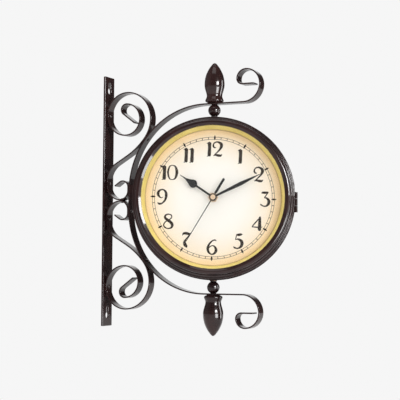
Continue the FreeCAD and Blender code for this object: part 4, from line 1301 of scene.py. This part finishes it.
@dataclass
class CaseSide:
    """One half of the round case: shell, bezel and gold ring."""

    side: Side
    enamel: bpy.types.Material
    gold: bpy.types.Material
    wall: float = 1.2
    rim: float = 112.6
    drum: float = 111.3
    waist: float = 107.8
    neck: float = 104.0
    step_depth: float = 28.4
    neck_step: float = 38.0
    neck_depth: float = 43.2
    opening: float = 97.4
    flat: float = 111.8
    band_bore: float = 110.5
    band_half: float = 7.0
    door_gap: float = 0.3
    seat_gap: float = 0.1
    lip_depth: float = 4.3
    rim_wide: float = 4.7
    rim_fillet: float = 0.35
    step_fillet: float = 2.6
    glass_high: float = 46.2
    bezel_wall: float = 1.2
    bezel_crest: float = 2.2
    brow: float = 3.1
    dial_radius: float = 93.5
    dial_depth: float = 28.0

    @property
    def parting(self) -> float:
        """Where the rim starts: the door stands clear of the band."""
        return self.band_half + (self.door_gap if self.side is Side.FRONT else 0.0)

    def stand(self, form: Form) -> Form:
        """Turn a form to this side and move it to the clock's axis."""
        return form.moved(REST_TURN + self.side.value, (AXIS_X, 0, 0))

    def shell(self) -> Form:
        """The spun shell: lip, rim, drum, rounded step, waist and neck.

        Returns:
            The form, flattened at the sides for the hinge and the tab where it is the door.
        """
        lip = self.band_bore - (self.door_gap if self.side is Side.FRONT else self.seat_gap)
        inner = lip - self.wall
        rim_end = self.parting + self.rim_wide
        form = turned([
            (inner, self.lip_depth, 0.2), (lip, self.lip_depth, 0.2), (lip, self.parting, 0.15),
            (self.rim, self.parting, self.rim_fillet), (self.rim, rim_end, self.rim_fillet),
            (self.drum, rim_end, 0.25), (self.drum, self.step_depth, self.step_fillet),
            (self.waist + 1.2, self.step_depth, 0.8), (self.waist, self.step_depth + 1.2, 0.8),
            (self.waist, self.neck_step, 1.1), (self.neck, self.neck_step, 0.3),
            (self.neck, self.neck_depth, 0.2), (self.neck - self.wall, self.neck_depth, 0.2),
            (self.neck - self.wall, self.neck_step - self.wall, 0.3),
            (self.waist - self.wall, self.neck_step - self.wall, 0.3),
            (self.waist - self.wall, self.step_depth - self.wall, 0.3),
            (self.drum - self.wall, self.step_depth - self.wall, 0.3),
            (self.drum - self.wall, rim_end - self.wall, 0.2),
            (inner, rim_end - self.wall, 0.2)], 288)
        if self.side is Side.FRONT:
            form.points[:, 0] = np.clip(form.points[:, 0], -self.flat, self.flat)
        return form

    def bezel(self) -> Form:
        """The bezel that holds the glass: a rounded brow that falls to the opening.

        Returns:
            The form.
        """
        inside = self.neck + 0.1
        outside = inside + self.bezel_wall
        glass = self.glass_high
        crest = glass + self.bezel_crest
        return turned([
            (inside, self.neck_step + 0.3, 0.2), (outside, self.neck_step + 0.3, 0.4),
            (outside, crest - self.brow, 0.0),
            (outside - 0.24, crest - self.brow + 1.19, 0.0),
            (outside - 0.91, crest - 0.91, 0.0), (outside - 1.91, crest - 0.24, 0.0),
            (outside - self.brow, crest, 0.0), (outside - self.brow - 1.5, crest, 1.2),
            (self.opening + 0.5, glass + 0.75, 0.9), (self.opening, glass + 0.5, 0.2),
            (self.opening, glass, 0.1), (inside, glass, 0.2)], 288)

    def gold_ring(self) -> Form:
        """The sloping gold ring between the glass and the dial.

        Returns:
            The form.
        """
        edge, front, foot = self.neck, self.opening - 0.1, self.dial_radius
        return turned([
            (foot, self.dial_depth, 0.25), (foot + self.wall, self.dial_depth, 0.2),
            (front + self.wall, self.neck_depth, 0.3),
            (edge, self.neck_depth, 0.2), (edge, self.neck_depth + 1.0, 0.2),
            (front, self.neck_depth + 1.0, 0.5)], 256)

    def build(self) -> Iterable[Piece]:
        """Build this side's three rings.

        Returns:
            (object, body, replaced node) for each.
        """
        word = self.side.word
        for node, form, material in (
                (f"{word}_shell", self.shell(), self.enamel),
                (f"{word}_bezel", self.bezel(), self.enamel),
                (f"{word}_gold_ring", self.gold_ring(), self.gold)):
            yield self.stand(form).build(f"{node}_dressed", material), self.side.body, node


@dataclass
class CentreBand:
    """The middle ring of the case, with its flat for the hinge."""

    material: bpy.types.Material
    radius: float = 113.5
    thick: float = 3.0
    half: float = 7.0
    flat: float = 111.8

    def build(self) -> Iterable[Piece]:
        """Build the band.

        Returns:
            (object, body, replaced node), once.
        """
        inside = self.radius - self.thick
        form = turned([(inside, -self.half, 0.25), (self.radius, -self.half, 0.5),
                       (self.radius, self.half, 0.5), (inside, self.half, 0.25)], 288)
        form.points[:, 0] = np.minimum(form.points[:, 0], self.flat)
        made = form.moved(REST_TURN, (AXIS_X, 0, 0)).build("centre_band_dressed",
                                                           self.material)
        yield made, "case", "centre_band"


# ------------------------------------------------------------------ dial print


# Each digit's pen strokes as knots (across, up, width), as shares of the digit's height.
NUMERAL_STROKES: dict[str, list[list[tuple[float, float, float]]]] = {
    "0": [[(0.32, 1.00, 0.035), (0.12, 0.90, 0.06), (0.02, 0.50, 0.085), (0.12, 0.10, 0.06),
           (0.32, 0.00, 0.035), (0.54, 0.11, 0.08), (0.64, 0.50, 0.125), (0.54, 0.89, 0.08),
           (0.32, 1.00, 0.035)]],
    "1": [[(0.20, 1.00, 0.02), (0.185, 0.95, 0.11), (0.18, 0.88, 0.15), (0.18, 0.50, 0.14),
           (0.17, 0.10, 0.15), (0.15, 0.03, 0.11), (0.13, 0.00, 0.02)],
          [(0.21, 0.99, 0.03), (0.10, 0.92, 0.06), (-0.02, 0.87, 0.02)],
          [(0.18, 0.05, 0.04), (0.08, 0.00, 0.05), (0.00, -0.02, 0.02)]],
    "2": [[(0.24, 0.60, 0.02), (0.12, 0.60, 0.06), (0.03, 0.72, 0.07), (0.10, 0.92, 0.055),
           (0.32, 1.00, 0.07), (0.56, 0.88, 0.125), (0.60, 0.70, 0.13), (0.48, 0.46, 0.08),
           (0.26, 0.22, 0.05), (0.06, 0.03, 0.04)],
          [(0.06, 0.03, 0.03), (0.20, 0.09, 0.085), (0.40, 0.05, 0.11), (0.56, 0.05, 0.09),
           (0.66, 0.14, 0.02)]],
    "3": [[(0.10, 0.88, 0.03), (0.16, 0.95, 0.09), (0.34, 0.95, 0.11), (0.52, 0.97, 0.08),
           (0.56, 0.95, 0.03)],
          [(0.54, 0.95, 0.04), (0.40, 0.76, 0.045), (0.28, 0.60, 0.04)],
          [(0.28, 0.60, 0.035), (0.46, 0.57, 0.08), (0.60, 0.40, 0.125), (0.58, 0.18, 0.12),
           (0.42, 0.02, 0.07), (0.22, 0.02, 0.055), (0.06, 0.12, 0.06), (0.02, 0.18, 0.02)]],
    "4": [[(0.60, 0.98, 0.03), (0.40, 0.74, 0.05), (0.18, 0.48, 0.055), (0.02, 0.27, 0.04)],
          [(0.02, 0.27, 0.04), (0.30, 0.25, 0.055), (0.55, 0.25, 0.055), (0.76, 0.28, 0.02)],
          [(0.60, 0.99, 0.04), (0.56, 0.90, 0.10), (0.55, 0.50, 0.135), (0.54, 0.10, 0.14),
           (0.52, 0.00, 0.06)]],
    "5": [[(0.22, 0.96, 0.05), (0.36, 0.94, 0.11), (0.52, 0.97, 0.10), (0.64, 0.98, 0.03)],
          [(0.24, 0.96, 0.045), (0.20, 0.78, 0.04), (0.16, 0.60, 0.035)],
          [(0.16, 0.60, 0.03), (0.34, 0.64, 0.07), (0.56, 0.52, 0.125), (0.62, 0.30, 0.135),
           (0.52, 0.10, 0.10), (0.32, 0.00, 0.06), (0.12, 0.04, 0.07), (0.02, 0.12, 0.02)]],
    "6": [[(0.62, 0.92, 0.02), (0.52, 0.99, 0.06), (0.34, 0.94, 0.06), (0.12, 0.70, 0.085),
           (0.03, 0.42, 0.115), (0.08, 0.16, 0.10), (0.28, 0.00, 0.06), (0.48, 0.06, 0.09),
           (0.60, 0.26, 0.125), (0.54, 0.48, 0.09), (0.38, 0.60, 0.05), (0.20, 0.54, 0.045),
           (0.08, 0.40, 0.03)]],
    "7": [[(0.00, 0.80, 0.03), (0.08, 0.93, 0.09), (0.26, 0.95, 0.12), (0.44, 0.92, 0.10),
           (0.56, 0.98, 0.02)],
          [(0.54, 0.96, 0.035), (0.42, 0.76, 0.045), (0.24, 0.52, 0.06), (0.16, 0.34, 0.11),
           (0.20, 0.16, 0.15), (0.32, 0.02, 0.10), (0.36, 0.00, 0.03)]],
    "8": [[(0.34, 1.00, 0.05), (0.14, 0.92, 0.075), (0.10, 0.76, 0.10), (0.26, 0.60, 0.12),
           (0.48, 0.46, 0.125), (0.62, 0.26, 0.12), (0.54, 0.06, 0.08), (0.32, 0.00, 0.05),
           (0.10, 0.08, 0.06), (0.02, 0.26, 0.055), (0.14, 0.46, 0.05), (0.36, 0.60, 0.045),
           (0.54, 0.74, 0.05), (0.54, 0.92, 0.05), (0.34, 1.00, 0.05)]],
    "9": [[(0.02, 0.10, 0.02), (0.14, 0.00, 0.09), (0.34, 0.04, 0.065), (0.54, 0.26, 0.085),
           (0.62, 0.58, 0.12), (0.56, 0.86, 0.10), (0.36, 1.00, 0.06), (0.14, 0.92, 0.09),
           (0.04, 0.72, 0.125), (0.12, 0.52, 0.08), (0.28, 0.42, 0.04), (0.40, 0.48, 0.02)]],
}
NUMERAL_WIDTHS = {"0": 0.66, "1": 0.30, "2": 0.66, "3": 0.64, "4": 0.76, "5": 0.66,
                  "6": 0.62, "7": 0.56, "8": 0.64, "9": 0.64}


def spline(knots: Points, steps: int = 9) -> Points:
    """A smooth line through the knots, all columns alike.

    Between knots 1 and 2 of four in a row it is the Catmull-Rom cubic
    (2 b + (c - a) t + (2 a - 5 b + 4 c - d) t^2 + (3 b - a - 3 c + d) t^3) / 2.

    Args:
        knots: the points, one a row.
        steps: points to a span.

    Returns:
        The points of the line.
    """
    before = 2 * knots[0] - knots[1]
    after = 2 * knots[-1] - knots[-2]
    if np.allclose(knots[0, :2], knots[-1, :2]):
        before, after = knots[-2], knots[1]
    rows = np.vstack([before, knots, after])
    a, b, c, d = rows[:-3], rows[1:-2], rows[2:-1], rows[3:]
    t = np.linspace(0, 1, steps, endpoint=False)[None, :, None]
    a, b, c, d = (item[:, None, :] for item in (a, b, c, d))
    line = 0.5 * (2 * b + (c - a) * t + (2 * a - 5 * b + 4 * c - d) * t ** 2
                  + (3 * b - a - 3 * c + d) * t ** 3)
    return np.vstack([line.reshape(-1, knots.shape[1]), knots[-1:]])


@dataclass
class DialPrint:
    """The numerals and the railroad track, as thin printed films on the dial."""

    side: Side
    ink: bpy.types.Material
    depth: float = 28.0
    film: float = 0.04
    tall: float = 19.6
    ring: tuple[float, float] = (70.4, 67.2)
    bold: float = 1.62
    print_turn: float = -1.2
    print_shift: tuple[float, float] = (0.1, -0.7)
    track_outer: float = 83.6
    track_inner: float = 80.5
    line: float = 0.55
    bar: float = 0.8
    tick: tuple[float, float] = (79.3, 86.3)
    tick_half: tuple[float, ...] = (0.15, 1.0, 1.35, 1.0, 0.15)
    letter_gap: float = 0.11
    lift: float = 0.003

    def band(self, left: Points, right: Points, lift: float = 0.0) -> Form:
        """A film between two lines: a closed strip with a top, a back and thin sides.

        Args:
            left: (across, up) points of one side.
            right: the other side, in the same order.
            lift: how much further the film stands from the dial.

        Returns:
            The form.
        """
        count = len(left)
        low = -(self.depth + 0.005)
        high = low - self.film - lift
        rows = [np.column_stack([edge[:, 0], np.full(count, level), edge[:, 1]])
                for edge, level in ((left, low), (left, high), (right, high), (right, low))]
        points = np.stack(rows, axis=1).reshape(-1, 3)
        faces = [tuple(face) for face in grid_faces(count, 4, False, True).tolist()]
        faces += [(3, 2, 1, 0), tuple(range(4 * count - 4, 4 * count))]
        return Form(points, faces)

    def stroke(self, knots: Sequence[Sequence[float]], at: Points, lift: float) -> Form:
        """A pen stroke of changing width along a smooth line.

        Args:
            knots: the stroke's (across, up, width) knots.
            at: where the digit's lower left corner lies.
            lift: how much further the film stands from the dial.

        Returns:
            The form: a film from half the width on one side of the line to the other.
        """
        line = spline(np.array(knots, float))
        way = unit(np.gradient(line[:, :2], axis=0))
        normal = np.stack([-way[:, 1], way[:, 0]], axis=1) * line[:, 2:3] * self.bold / 2
        centre = line[:, :2]
        return self.band((centre + normal) * self.tall + at,
                         (centre - normal) * self.tall + at, lift)

    def numerals(self) -> list[Form]:
        """The hours 1 to 12, upright, each centred on its own spot of an ellipse.

        Returns:
            A form for each stroke.
        """
        forms = []
        for hour in range(1, 13):
            word = str(hour)
            width = sum(NUMERAL_WIDTHS[digit] for digit in word)
            width += self.letter_gap * (len(word) - 1)
            angle = math.radians(30.0 * hour)
            spot = np.array([math.sin(angle), math.cos(angle)]) * np.array(self.ring)
            across = -width / 2
            for digit in word:
                for place, knots in enumerate(NUMERAL_STROKES[digit]):
                    at = spot + np.array([across, -0.5]) * self.tall
                    forms.append(self.stroke(knots, at, self.lift * place))
                across += NUMERAL_WIDTHS[digit] + self.letter_gap
        return forms

    def track(self) -> list[Form]:
        """Two thin circles, the minute bars between them and the hours' pointed ticks.

        Returns:
            A form for each of them.
        """
        forms = []
        angle = np.linspace(0, 2 * math.pi, 241)
        way = np.stack([np.sin(angle), np.cos(angle)], axis=1)
        for radius in (self.track_inner, self.track_outer):
            forms.append(self.band(way * (radius + self.line / 2),
                                   way * (radius - self.line / 2)))
        for minute in range(60):
            turn = math.radians(6.0 * minute)
            out = np.array([math.sin(turn), math.cos(turn)])
            side = np.array([out[1], -out[0]])
            if minute % 5:
                reach = np.array([self.track_inner, self.track_outer])[:, None]
                half = side * self.bar / 2
            else:
                reach = np.linspace(*self.tick, len(self.tick_half))[:, None]
                half = np.array(self.tick_half)[:, None] * side
            forms.append(self.band(out * reach - half, out * reach + half, self.lift))
        return forms

    def build(self) -> Iterable[Piece]:
        """Build the numerals and the track.

        Returns:
            (object, body, None) for each.
        """
        turn = math.radians(self.print_turn)
        spin = np.array([[math.cos(turn), -math.sin(turn)],
                         [math.sin(turn), math.cos(turn)]])
        for what, forms in (("numerals", self.numerals()), ("minute_track", self.track())):
            form = forms[0].joined(*forms[1:])
            flat = form.points[:, [0, 2]] @ spin.T + np.array(self.print_shift)
            form.points[:, 0], form.points[:, 2] = flat[:, 0], flat[:, 1]
            form = form.moved(REST_TURN + self.side.value, (AXIS_X, 0, 0))
            made = form.build(f"{self.side.word}_{what}", self.ink, smooth=False)
            yield made, self.side.body, None


# ------------------------------------------------------------------ hands


@dataclass
class Hands:
    """The hour, minute and second hands, with the second hand's brass cap."""

    side: Side
    black: bpy.types.Material
    brass: bpy.types.Material
    levels: tuple[float, float, float] = (32.6, 35.0, 37.4)
    angles: tuple[float, float, float] = (303.8, 63.6, 210.8)
    bores: tuple[float, float] = (2.55, 1.8)
    thick: float = 0.6
    hub: float = 5.0
    hour_reach: float = 54.5
    ball: float = 5.6
    ball_at: float = 33.0
    minute_reach: float = 70.7
    widest_at: float = 42.4
    second_reach: float = 70.5
    weight_from: float = 6.0
    weight_to: float = 29.4
    weight_half: float = 1.7
    cap: float = 3.5
    stem: float = 1.35
    tip_after: float = 3.0
    tip_half: float = 4.4
    tip_point: float = 0.5
    minute_halves: tuple[float, float, float] = (1.15, 2.6, 0.4)
    second_halves: tuple[float, float] = (0.75, 0.48)

    def hour_half(self, along: Points) -> Points:
        """The hour hand's half width: the widest of a stem, a ball and a hollow tip.

        The ball is a circle, and the tip falls with the power 2.6 of the share that is left.

        Args:
            along: distances from the hand's axis.

        Returns:
            Half the width at each.
        """
        tip_from = self.ball_at + self.tip_after
        stem = np.where(along < self.ball_at, self.stem, 0.0)
        ball = np.sqrt(np.maximum(self.ball ** 2 - (along - self.ball_at) ** 2, 0.0))
        share = np.clip((along - tip_from) / (self.hour_reach - tip_from), 0, 1)
        tip = self.tip_half * (1 - share) ** 2.6 + self.tip_point
        return np.maximum(np.maximum(stem, ball), np.where(along > tip_from, tip, 0.0))

    def minute_half(self, along: Points) -> Points:
        """The minute hand's half width: two straight tapers from its widest place."""
        return np.interp(along, [0.0, self.widest_at, self.minute_reach], self.minute_halves)

    def second_half(self, along: Points) -> Points:
        """The second hand's half width: a fine needle."""
        return np.interp(along, [0.0, self.second_reach], self.second_halves)

    def blade(self, half: Points, along: Points, level: float) -> Form:
        """A flat blade whose edges lie half a width to each side of its line.

        Args:
            half: half the width at each distance.
            along: the distances from the axis.
            level: the depth of its back.

        Returns:
            The form, pointing at twelve.
        """
        outline = np.vstack([np.column_stack([half, along]),
                             np.column_stack([-half, along])[::-1]])
        return slab(outline, level, self.thick)

    def ring(self, bore: float, level: float) -> Form:
        """The hub: a flat ring with rounded edges.

        Args:
            bore: its inner radius.
            level: the depth of its back.

        Returns:
            The form.
        """
        top = level + self.thick
        return turned([(bore, level, 0.05), (self.hub, level, 0.1), (self.hub, top, 0.15),
                       (bore, top, 0.05)], 64)

    def pointed(self, form: Form, angle: float) -> Form:
        """Turn a hand clockwise from twelve and stand it on its side of the clock.

        Args:
            form: the hand, which points at twelve.
            angle: degrees clockwise, as seen from this side.

        Returns:
            The form in its place.
        """
        turn = math.radians(angle)
        across, up = form.points[:, 0].copy(), form.points[:, 2].copy()
        form.points[:, 0] = across * math.cos(turn) + up * math.sin(turn)
        form.points[:, 2] = up * math.cos(turn) - across * math.sin(turn)
        return form.moved(REST_TURN + self.side.value, (AXIS_X, 0, 0))

    def dome(self) -> Form:
        """The cap: a low button with a rounded rim, a quarter circle in its outline.

        Returns:
            The form.
        """
        low = self.levels[2] + self.thick
        angle = np.linspace(0, math.pi / 2, 10)
        rim = np.stack([self.cap - 0.5 + 0.5 * np.cos(angle), low + 0.2 + 0.4 * np.sin(angle)],
                       axis=1)
        outline = np.vstack([[[0.0, low], [self.cap - 0.1, low], [self.cap, low + 0.1]], rim,
                             [[0.0, low + 0.66]]])
        return lathe(outline, np.zeros(len(outline)), 64, False)

    def build(self) -> Iterable[Piece]:
        """Build the three hands and the cap.

        Returns:
            (object, body, replaced node or None) for each.
        """
        word = self.side.word
        hour, minute, second = self.levels
        root = self.hub - 0.4  # the blades start inside their hubs
        along = np.linspace(root, self.hour_reach, 90)
        hours = self.blade(self.hour_half(along), along, hour)
        hours = hours.joined(self.ring(self.bores[0], hour))
        along = np.array([root, self.widest_at, self.minute_reach])
        minutes = self.blade(self.minute_half(along), along, minute)
        minutes = minutes.joined(self.ring(self.bores[1], minute))
        along = np.array([-self.weight_from, self.second_reach])
        needle = self.blade(self.second_half(np.abs(along)), along, second)
        along = -np.array([self.weight_to, self.weight_to - 0.5, self.weight_from + 0.5,
                           self.weight_from])
        wide = self.weight_half
        weight = self.blade(np.array([wide - 0.5, wide, wide, wide - 0.5]), along, second)
        for what, form, angle in (("hour", hours, self.angles[0]),
                                  ("minute", minutes, self.angles[1]),
                                  ("second", needle.joined(weight), self.angles[2])):
            made = self.pointed(form, angle).build(f"{word}_{what}_blade", self.black,
                                                   smooth=False)
            yield made, f"{word}_{what}s", f"{word}_{what}_hand"
        cap = self.dome().moved(REST_TURN + self.side.value, (AXIS_X, 0, 0))
        yield cap.build(f"{word}_second_cap", self.brass), f"{word}_seconds", None


# ------------------------------------------------------------------ stage


@dataclass(frozen=True)
class Softbox:
    """One lamp: a rectangle aimed at the clock."""

    name: str
    around: float  # degrees to the right of the camera, seen from the clock
    above: float  # degrees above the level
    distance: float  # metres from the clock
    size: tuple[float, float]  # width and height in metres
    power: float  # watts
    lights: bool = True  # lights matt surfaces too, or else only gloss mirrors it


SOFTBOXES = (
    Softbox("near_right_lamp", 36.0, 14.0, 1.7, (0.18, 0.24), 3.7),
    Softbox("near_right_panel", 36.0, 12.0, 1.8, (0.80, 0.50), 30.0, False),
    Softbox("low_right_panel", 40.0, -13.5, 1.2, (0.60, 0.28), 7.0, False),
    Softbox("far_right_panel", 98.0, -4.0, 1.6, (0.30, 1.50), 13.0, False),
    Softbox("top_box", -14.0, 64.0, 1.8, (1.2, 0.9), 4.0),
)


@dataclass
class Studio:
    """The camera, the lamps, the floor and the world.

    The camera's distance, height and focal length are in millimetres and pixels of a frame
    400 pixels wide; white and the levels of the room are what a colour of 1 is worth.
    """

    distance: float = 1600.0
    angle: float = 25.0
    height: float = -95.0
    pitch: float = 3.325
    roll: float = 0.4
    aim: float = -19.3
    focal: float = 1600.0 / 1.39
    frame_px: float = 400.0
    sensor: float = 36.0
    floor_z: float = -0.46
    white: float = 0.921
    ambient: float = 0.67
    frontal: float = 0.61
    gloss_left: float = 0.20
    gloss_dark: float = 0.035
    floor_half: float = 6.0

    def camera(self) -> bpy.types.Object:
        """The camera at the photograph's viewing angle, turned by yaw, pitch and roll.

        Returns:
            The camera.
        """
        turn = math.radians(self.angle)
        yaw = self.aim / self.distance
        pitch, roll = math.radians(self.pitch), math.radians(self.roll)
        right = np.array([math.cos(turn), math.sin(turn), 0.0])
        ahead = np.array([-math.sin(turn), math.cos(turn), 0.0])
        up = np.array([0.0, 0.0, 1.0])
        right, ahead = (right * math.cos(yaw) - ahead * math.sin(yaw),
                        right * math.sin(yaw) + ahead * math.cos(yaw))
        up, ahead = (up * math.cos(pitch) - ahead * math.sin(pitch),
                     up * math.sin(pitch) + ahead * math.cos(pitch))
        right, up = (right * math.cos(roll) + up * math.sin(roll),
                     up * math.cos(roll) - right * math.sin(roll))
        data = bpy.data.cameras.new("camera")
        data.sensor_width = self.sensor
        data.lens = self.focal / self.frame_px * data.sensor_width
        data.clip_end = 50.0
        made = bpy.data.objects.new("camera", data)
        spot = np.array([AXIS_X + self.distance * math.sin(turn),
                         -self.distance * math.cos(turn), self.height]) * MM
        matrix = Matrix.Identity(4)
        for column, axis in enumerate((right, up, -ahead, spot)):
            for row in range(3):
                matrix[row][column] = float(axis[row])
        made.matrix_world = matrix
        bpy.context.scene.collection.objects.link(made)
        bpy.context.scene.camera = made
        return made

    def lamp(self, box: Softbox) -> None:
        """Stand a softbox in its place and aim it at the clock.

        Args:
            box: the softbox.
        """
        data = bpy.data.lights.new(box.name, "AREA")
        data.shape = "RECTANGLE"
        data.size, data.size_y = box.size
        data.energy = box.power
        made = bpy.data.objects.new(box.name, data)
        turn = math.radians(self.angle + box.around)
        lift = math.radians(box.above)
        centre = Vector((AXIS_X * MM, 0.0, 0.0))
        way = Vector((math.sin(turn) * math.cos(lift), -math.cos(turn) * math.cos(lift),
                      math.sin(lift)))
        made.location = centre + way * box.distance
        made.rotation_euler = way.to_track_quat("Z", "Y").to_euler()
        made.visible_camera = False
        made.visible_diffuse = box.lights
        bpy.context.scene.collection.objects.link(made)

    def floor(self) -> None:
        """A wide pale floor that fades into the background, yet keeps the shadow."""
        graph = Graph.named("floor_white")
        seen = graph.value("ShaderNodeLightPath", output="Is Camera Ray")
        spot = graph.value("ShaderNodeTexCoord", output="Object")
        reach = graph.value("ShaderNodeVectorMath", {0: spot}, {"operation": "LENGTH"},
                            "Value").step(0.7, 1.6)
        grain = graph.noise(spot, 18.0, 3.0) * 0.02 + 0.80
        matt = graph.value("ShaderNodeBsdfDiffuse", {"Color": graph.value(
            "ShaderNodeCombineColor", {0: grain, 1: grain, 2: grain})})
        glow = graph.value("ShaderNodeEmission", {"Color": (self.white,) * 3})
        share = seen * (reach * 0.25 + 0.75)
        mixed = graph.value("ShaderNodeMixShader", {0: share, 1: matt, 2: glow})
        graph.add("ShaderNodeOutputMaterial", {"Surface": mixed})
        corners = np.array([(-1, -1, 0), (1, -1, 0), (1, 1, 0), (-1, 1, 0)])
        corners = corners * self.floor_half / MM
        form = Form(corners + np.array([AXIS_X, 0, self.floor_z / MM]), [(0, 1, 2, 3)])
        form.build("studio_floor", graph.owner, smooth=False, recalculate=False)

    def world(self) -> None:
        """A soft room whose background is white to the camera and through glass.

        Matt surfaces get an even level with a little more from in front.  Gloss sees white
        straight behind the clock, a dim wall at the left, and near darkness elsewhere.
        """
        world = bpy.data.worlds.new("studio_world")
        bpy.context.scene.world = world
        graph = Graph(world)
        path = graph.add("ShaderNodeLightPath")
        seen = Signal(graph, path.outputs["Is Camera Ray"]).math(
            "MAXIMUM", Signal(graph, path.outputs["Is Transmission Ray"]))
        way = graph.value("ShaderNodeTexCoord", output="Generated")
        turn = math.radians(self.angle)
        toward = graph.value("ShaderNodeVectorMath", {
            0: way, 1: (math.sin(turn), -math.cos(turn), 0.0)}, {"operation": "DOT_PRODUCT"},
            "Value")
        leftward = graph.value("ShaderNodeVectorMath", {
            0: way, 1: (-math.cos(turn), -math.sin(turn), 0.0)},
            {"operation": "DOT_PRODUCT"}, "Value")
        glossy = Signal(graph, path.outputs["Is Glossy Ray"])
        behind = toward.step(0.30, -0.20) * leftward.step(-0.44, -0.20)
        behind = behind * leftward.step(0.44, 0.22)
        left = leftward.step(0.45, 0.95) * self.gloss_left
        room = behind * self.white + left + self.gloss_dark
        soft = toward.step(0.10, 1.00) * self.frontal + self.ambient
        level = glossy * room + (1.0 - glossy) * soft
        level = seen * self.white + (1.0 - seen) * level
        colour = graph.value("ShaderNodeCombineColor", {0: level, 1: level, 2: level})
        back = graph.value("ShaderNodeBackground", {"Color": colour})
        graph.add("ShaderNodeOutputWorld", {"Surface": back})

    def build(self) -> None:
        """Set the whole stage."""
        self.camera()
        self.floor()
        self.world()
        for box in SOFTBOXES:
            self.lamp(box)
        bpy.context.scene.view_settings.view_transform = "Standard"


# ------------------------------------------------------------------ carried over nodes


@dataclass
class CarriedOver:
    """The CAD nodes that keep their shape and get a finish."""

    finishes: dict[str, bpy.types.Material]

    def dress(self) -> None:
        """Give each node the first finish whose key ends its name."""
        for name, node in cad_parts.items():
            for key, material in self.finishes.items():
                if name.endswith(key):
                    node.data.materials.clear()
                    node.data.materials.append(material)
                    break


def attach(pieces: Iterable[Piece], slot: Slot) -> None:
    """Make each piece ride on its body and hide the node that it stands for.

    Args:
        pieces: the pieces.
        slot: not used.
    """
    for made, body, node in pieces:
        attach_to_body(made, body)
        if node is not None:
            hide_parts(node)
        LOG.info("%s rides on %s: %d points", made.name, body, len(made.data.vertices))


def main() -> None:
    """Build the studio, the finishes and every piece."""
    logging.basicConfig(level=logging.INFO, format="%(message)s")
    Studio().build()
    case_enamel = Enamel("case_enamel_gloss").build()
    iron_enamel = Enamel("iron_enamel_gloss", peel_waves=520.0, roughness=0.26).build()
    gold = GoldPaint("gold_ring_satin").build()
    ink = Ink("dial_ink").build()
    black = HandBlack("hand_black_matt").build()
    brass = Moulded("cap_brass_satin", (0.78, 0.57, 0.38), 0.22, 900.0).build()
    steel = BareMetal("bright_steel", (0.62, 0.62, 0.63), (0.30, 0.29, 0.28), 0.24).build()
    bronze = BareMetal("bush_oiled_bronze", (0.085, 0.048, 0.028), (0.04, 0.022, 0.014),
                       0.42).build()
    washer = Moulded("washer_black_nylon", (0.016, 0.015, 0.015), 0.48).build()
    zinc = BareMetal("zinc_sheet", (0.55, 0.57, 0.58), (0.36, 0.37, 0.38), 0.34,
                     (1.0, 1.0, 12.0)).build()
    wheel = Moulded("natural_plastic", (0.72, 0.71, 0.64), 0.38).build()
    movement = Moulded("movement_plastic", (0.022, 0.022, 0.024), 0.40).build()
    jacket = Moulded("cell_jacket", (0.03, 0.10, 0.26), 0.25, 900.0).build()
    board = Moulded("board_resist", (0.02, 0.14, 0.05), 0.30, 1800.0).build()
    ferrite = Moulded("magnet_ferrite", (0.035, 0.034, 0.034), 0.55, 3200.0).build()
    glass = ClearGlass("window_glass").build()
    winding = Winding("coil_wire", REST_TURN).build()

    attach(Bracket(iron_enamel).build(), Slot.IRON)
    attach(Turnings(iron_enamel).build(), Slot.IRON)
    attach(CentreBand(case_enamel).build(), Slot.CASE)
    for side in Side:
        pieces = list(CaseSide(side, case_enamel, gold).build())
        attach(pieces[:2], Slot.CASE)
        attach(pieces[2:], Slot.GOLD)
        attach(DialPrint(side, ink).build(), Slot.PAPER)
        pieces = list(Hands(side, black, brass).build())
        attach(pieces[:3], Slot.HAND)
        attach(pieces[3:], Slot.BRASS)
    finishes = {
        "front_dial": DialPaper("front_dial_card", REST_TURN).build(),
        "rear_dial": DialPaper("rear_dial_card", REST_TURN + 180.0).build(),
        "_glass": glass, "_plate": zinc, "_nut": brass, "_battery": jacket,
        "_coil": winding, "_board": board, "_wheel": wheel, "_knob": wheel,
        "minute_arbor": wheel, "second_arbor": brass, "movement_case": movement,
        "movement_cover": movement, "catch_magnet": ferrite, "pivot_bushes": bronze,
        "_pin": steel, "_washers": washer, "_leaf": case_enamel, "door_tab": case_enamel,
    }
    CarriedOver(finishes).dress()


if __name__ == "__main__":
    main()
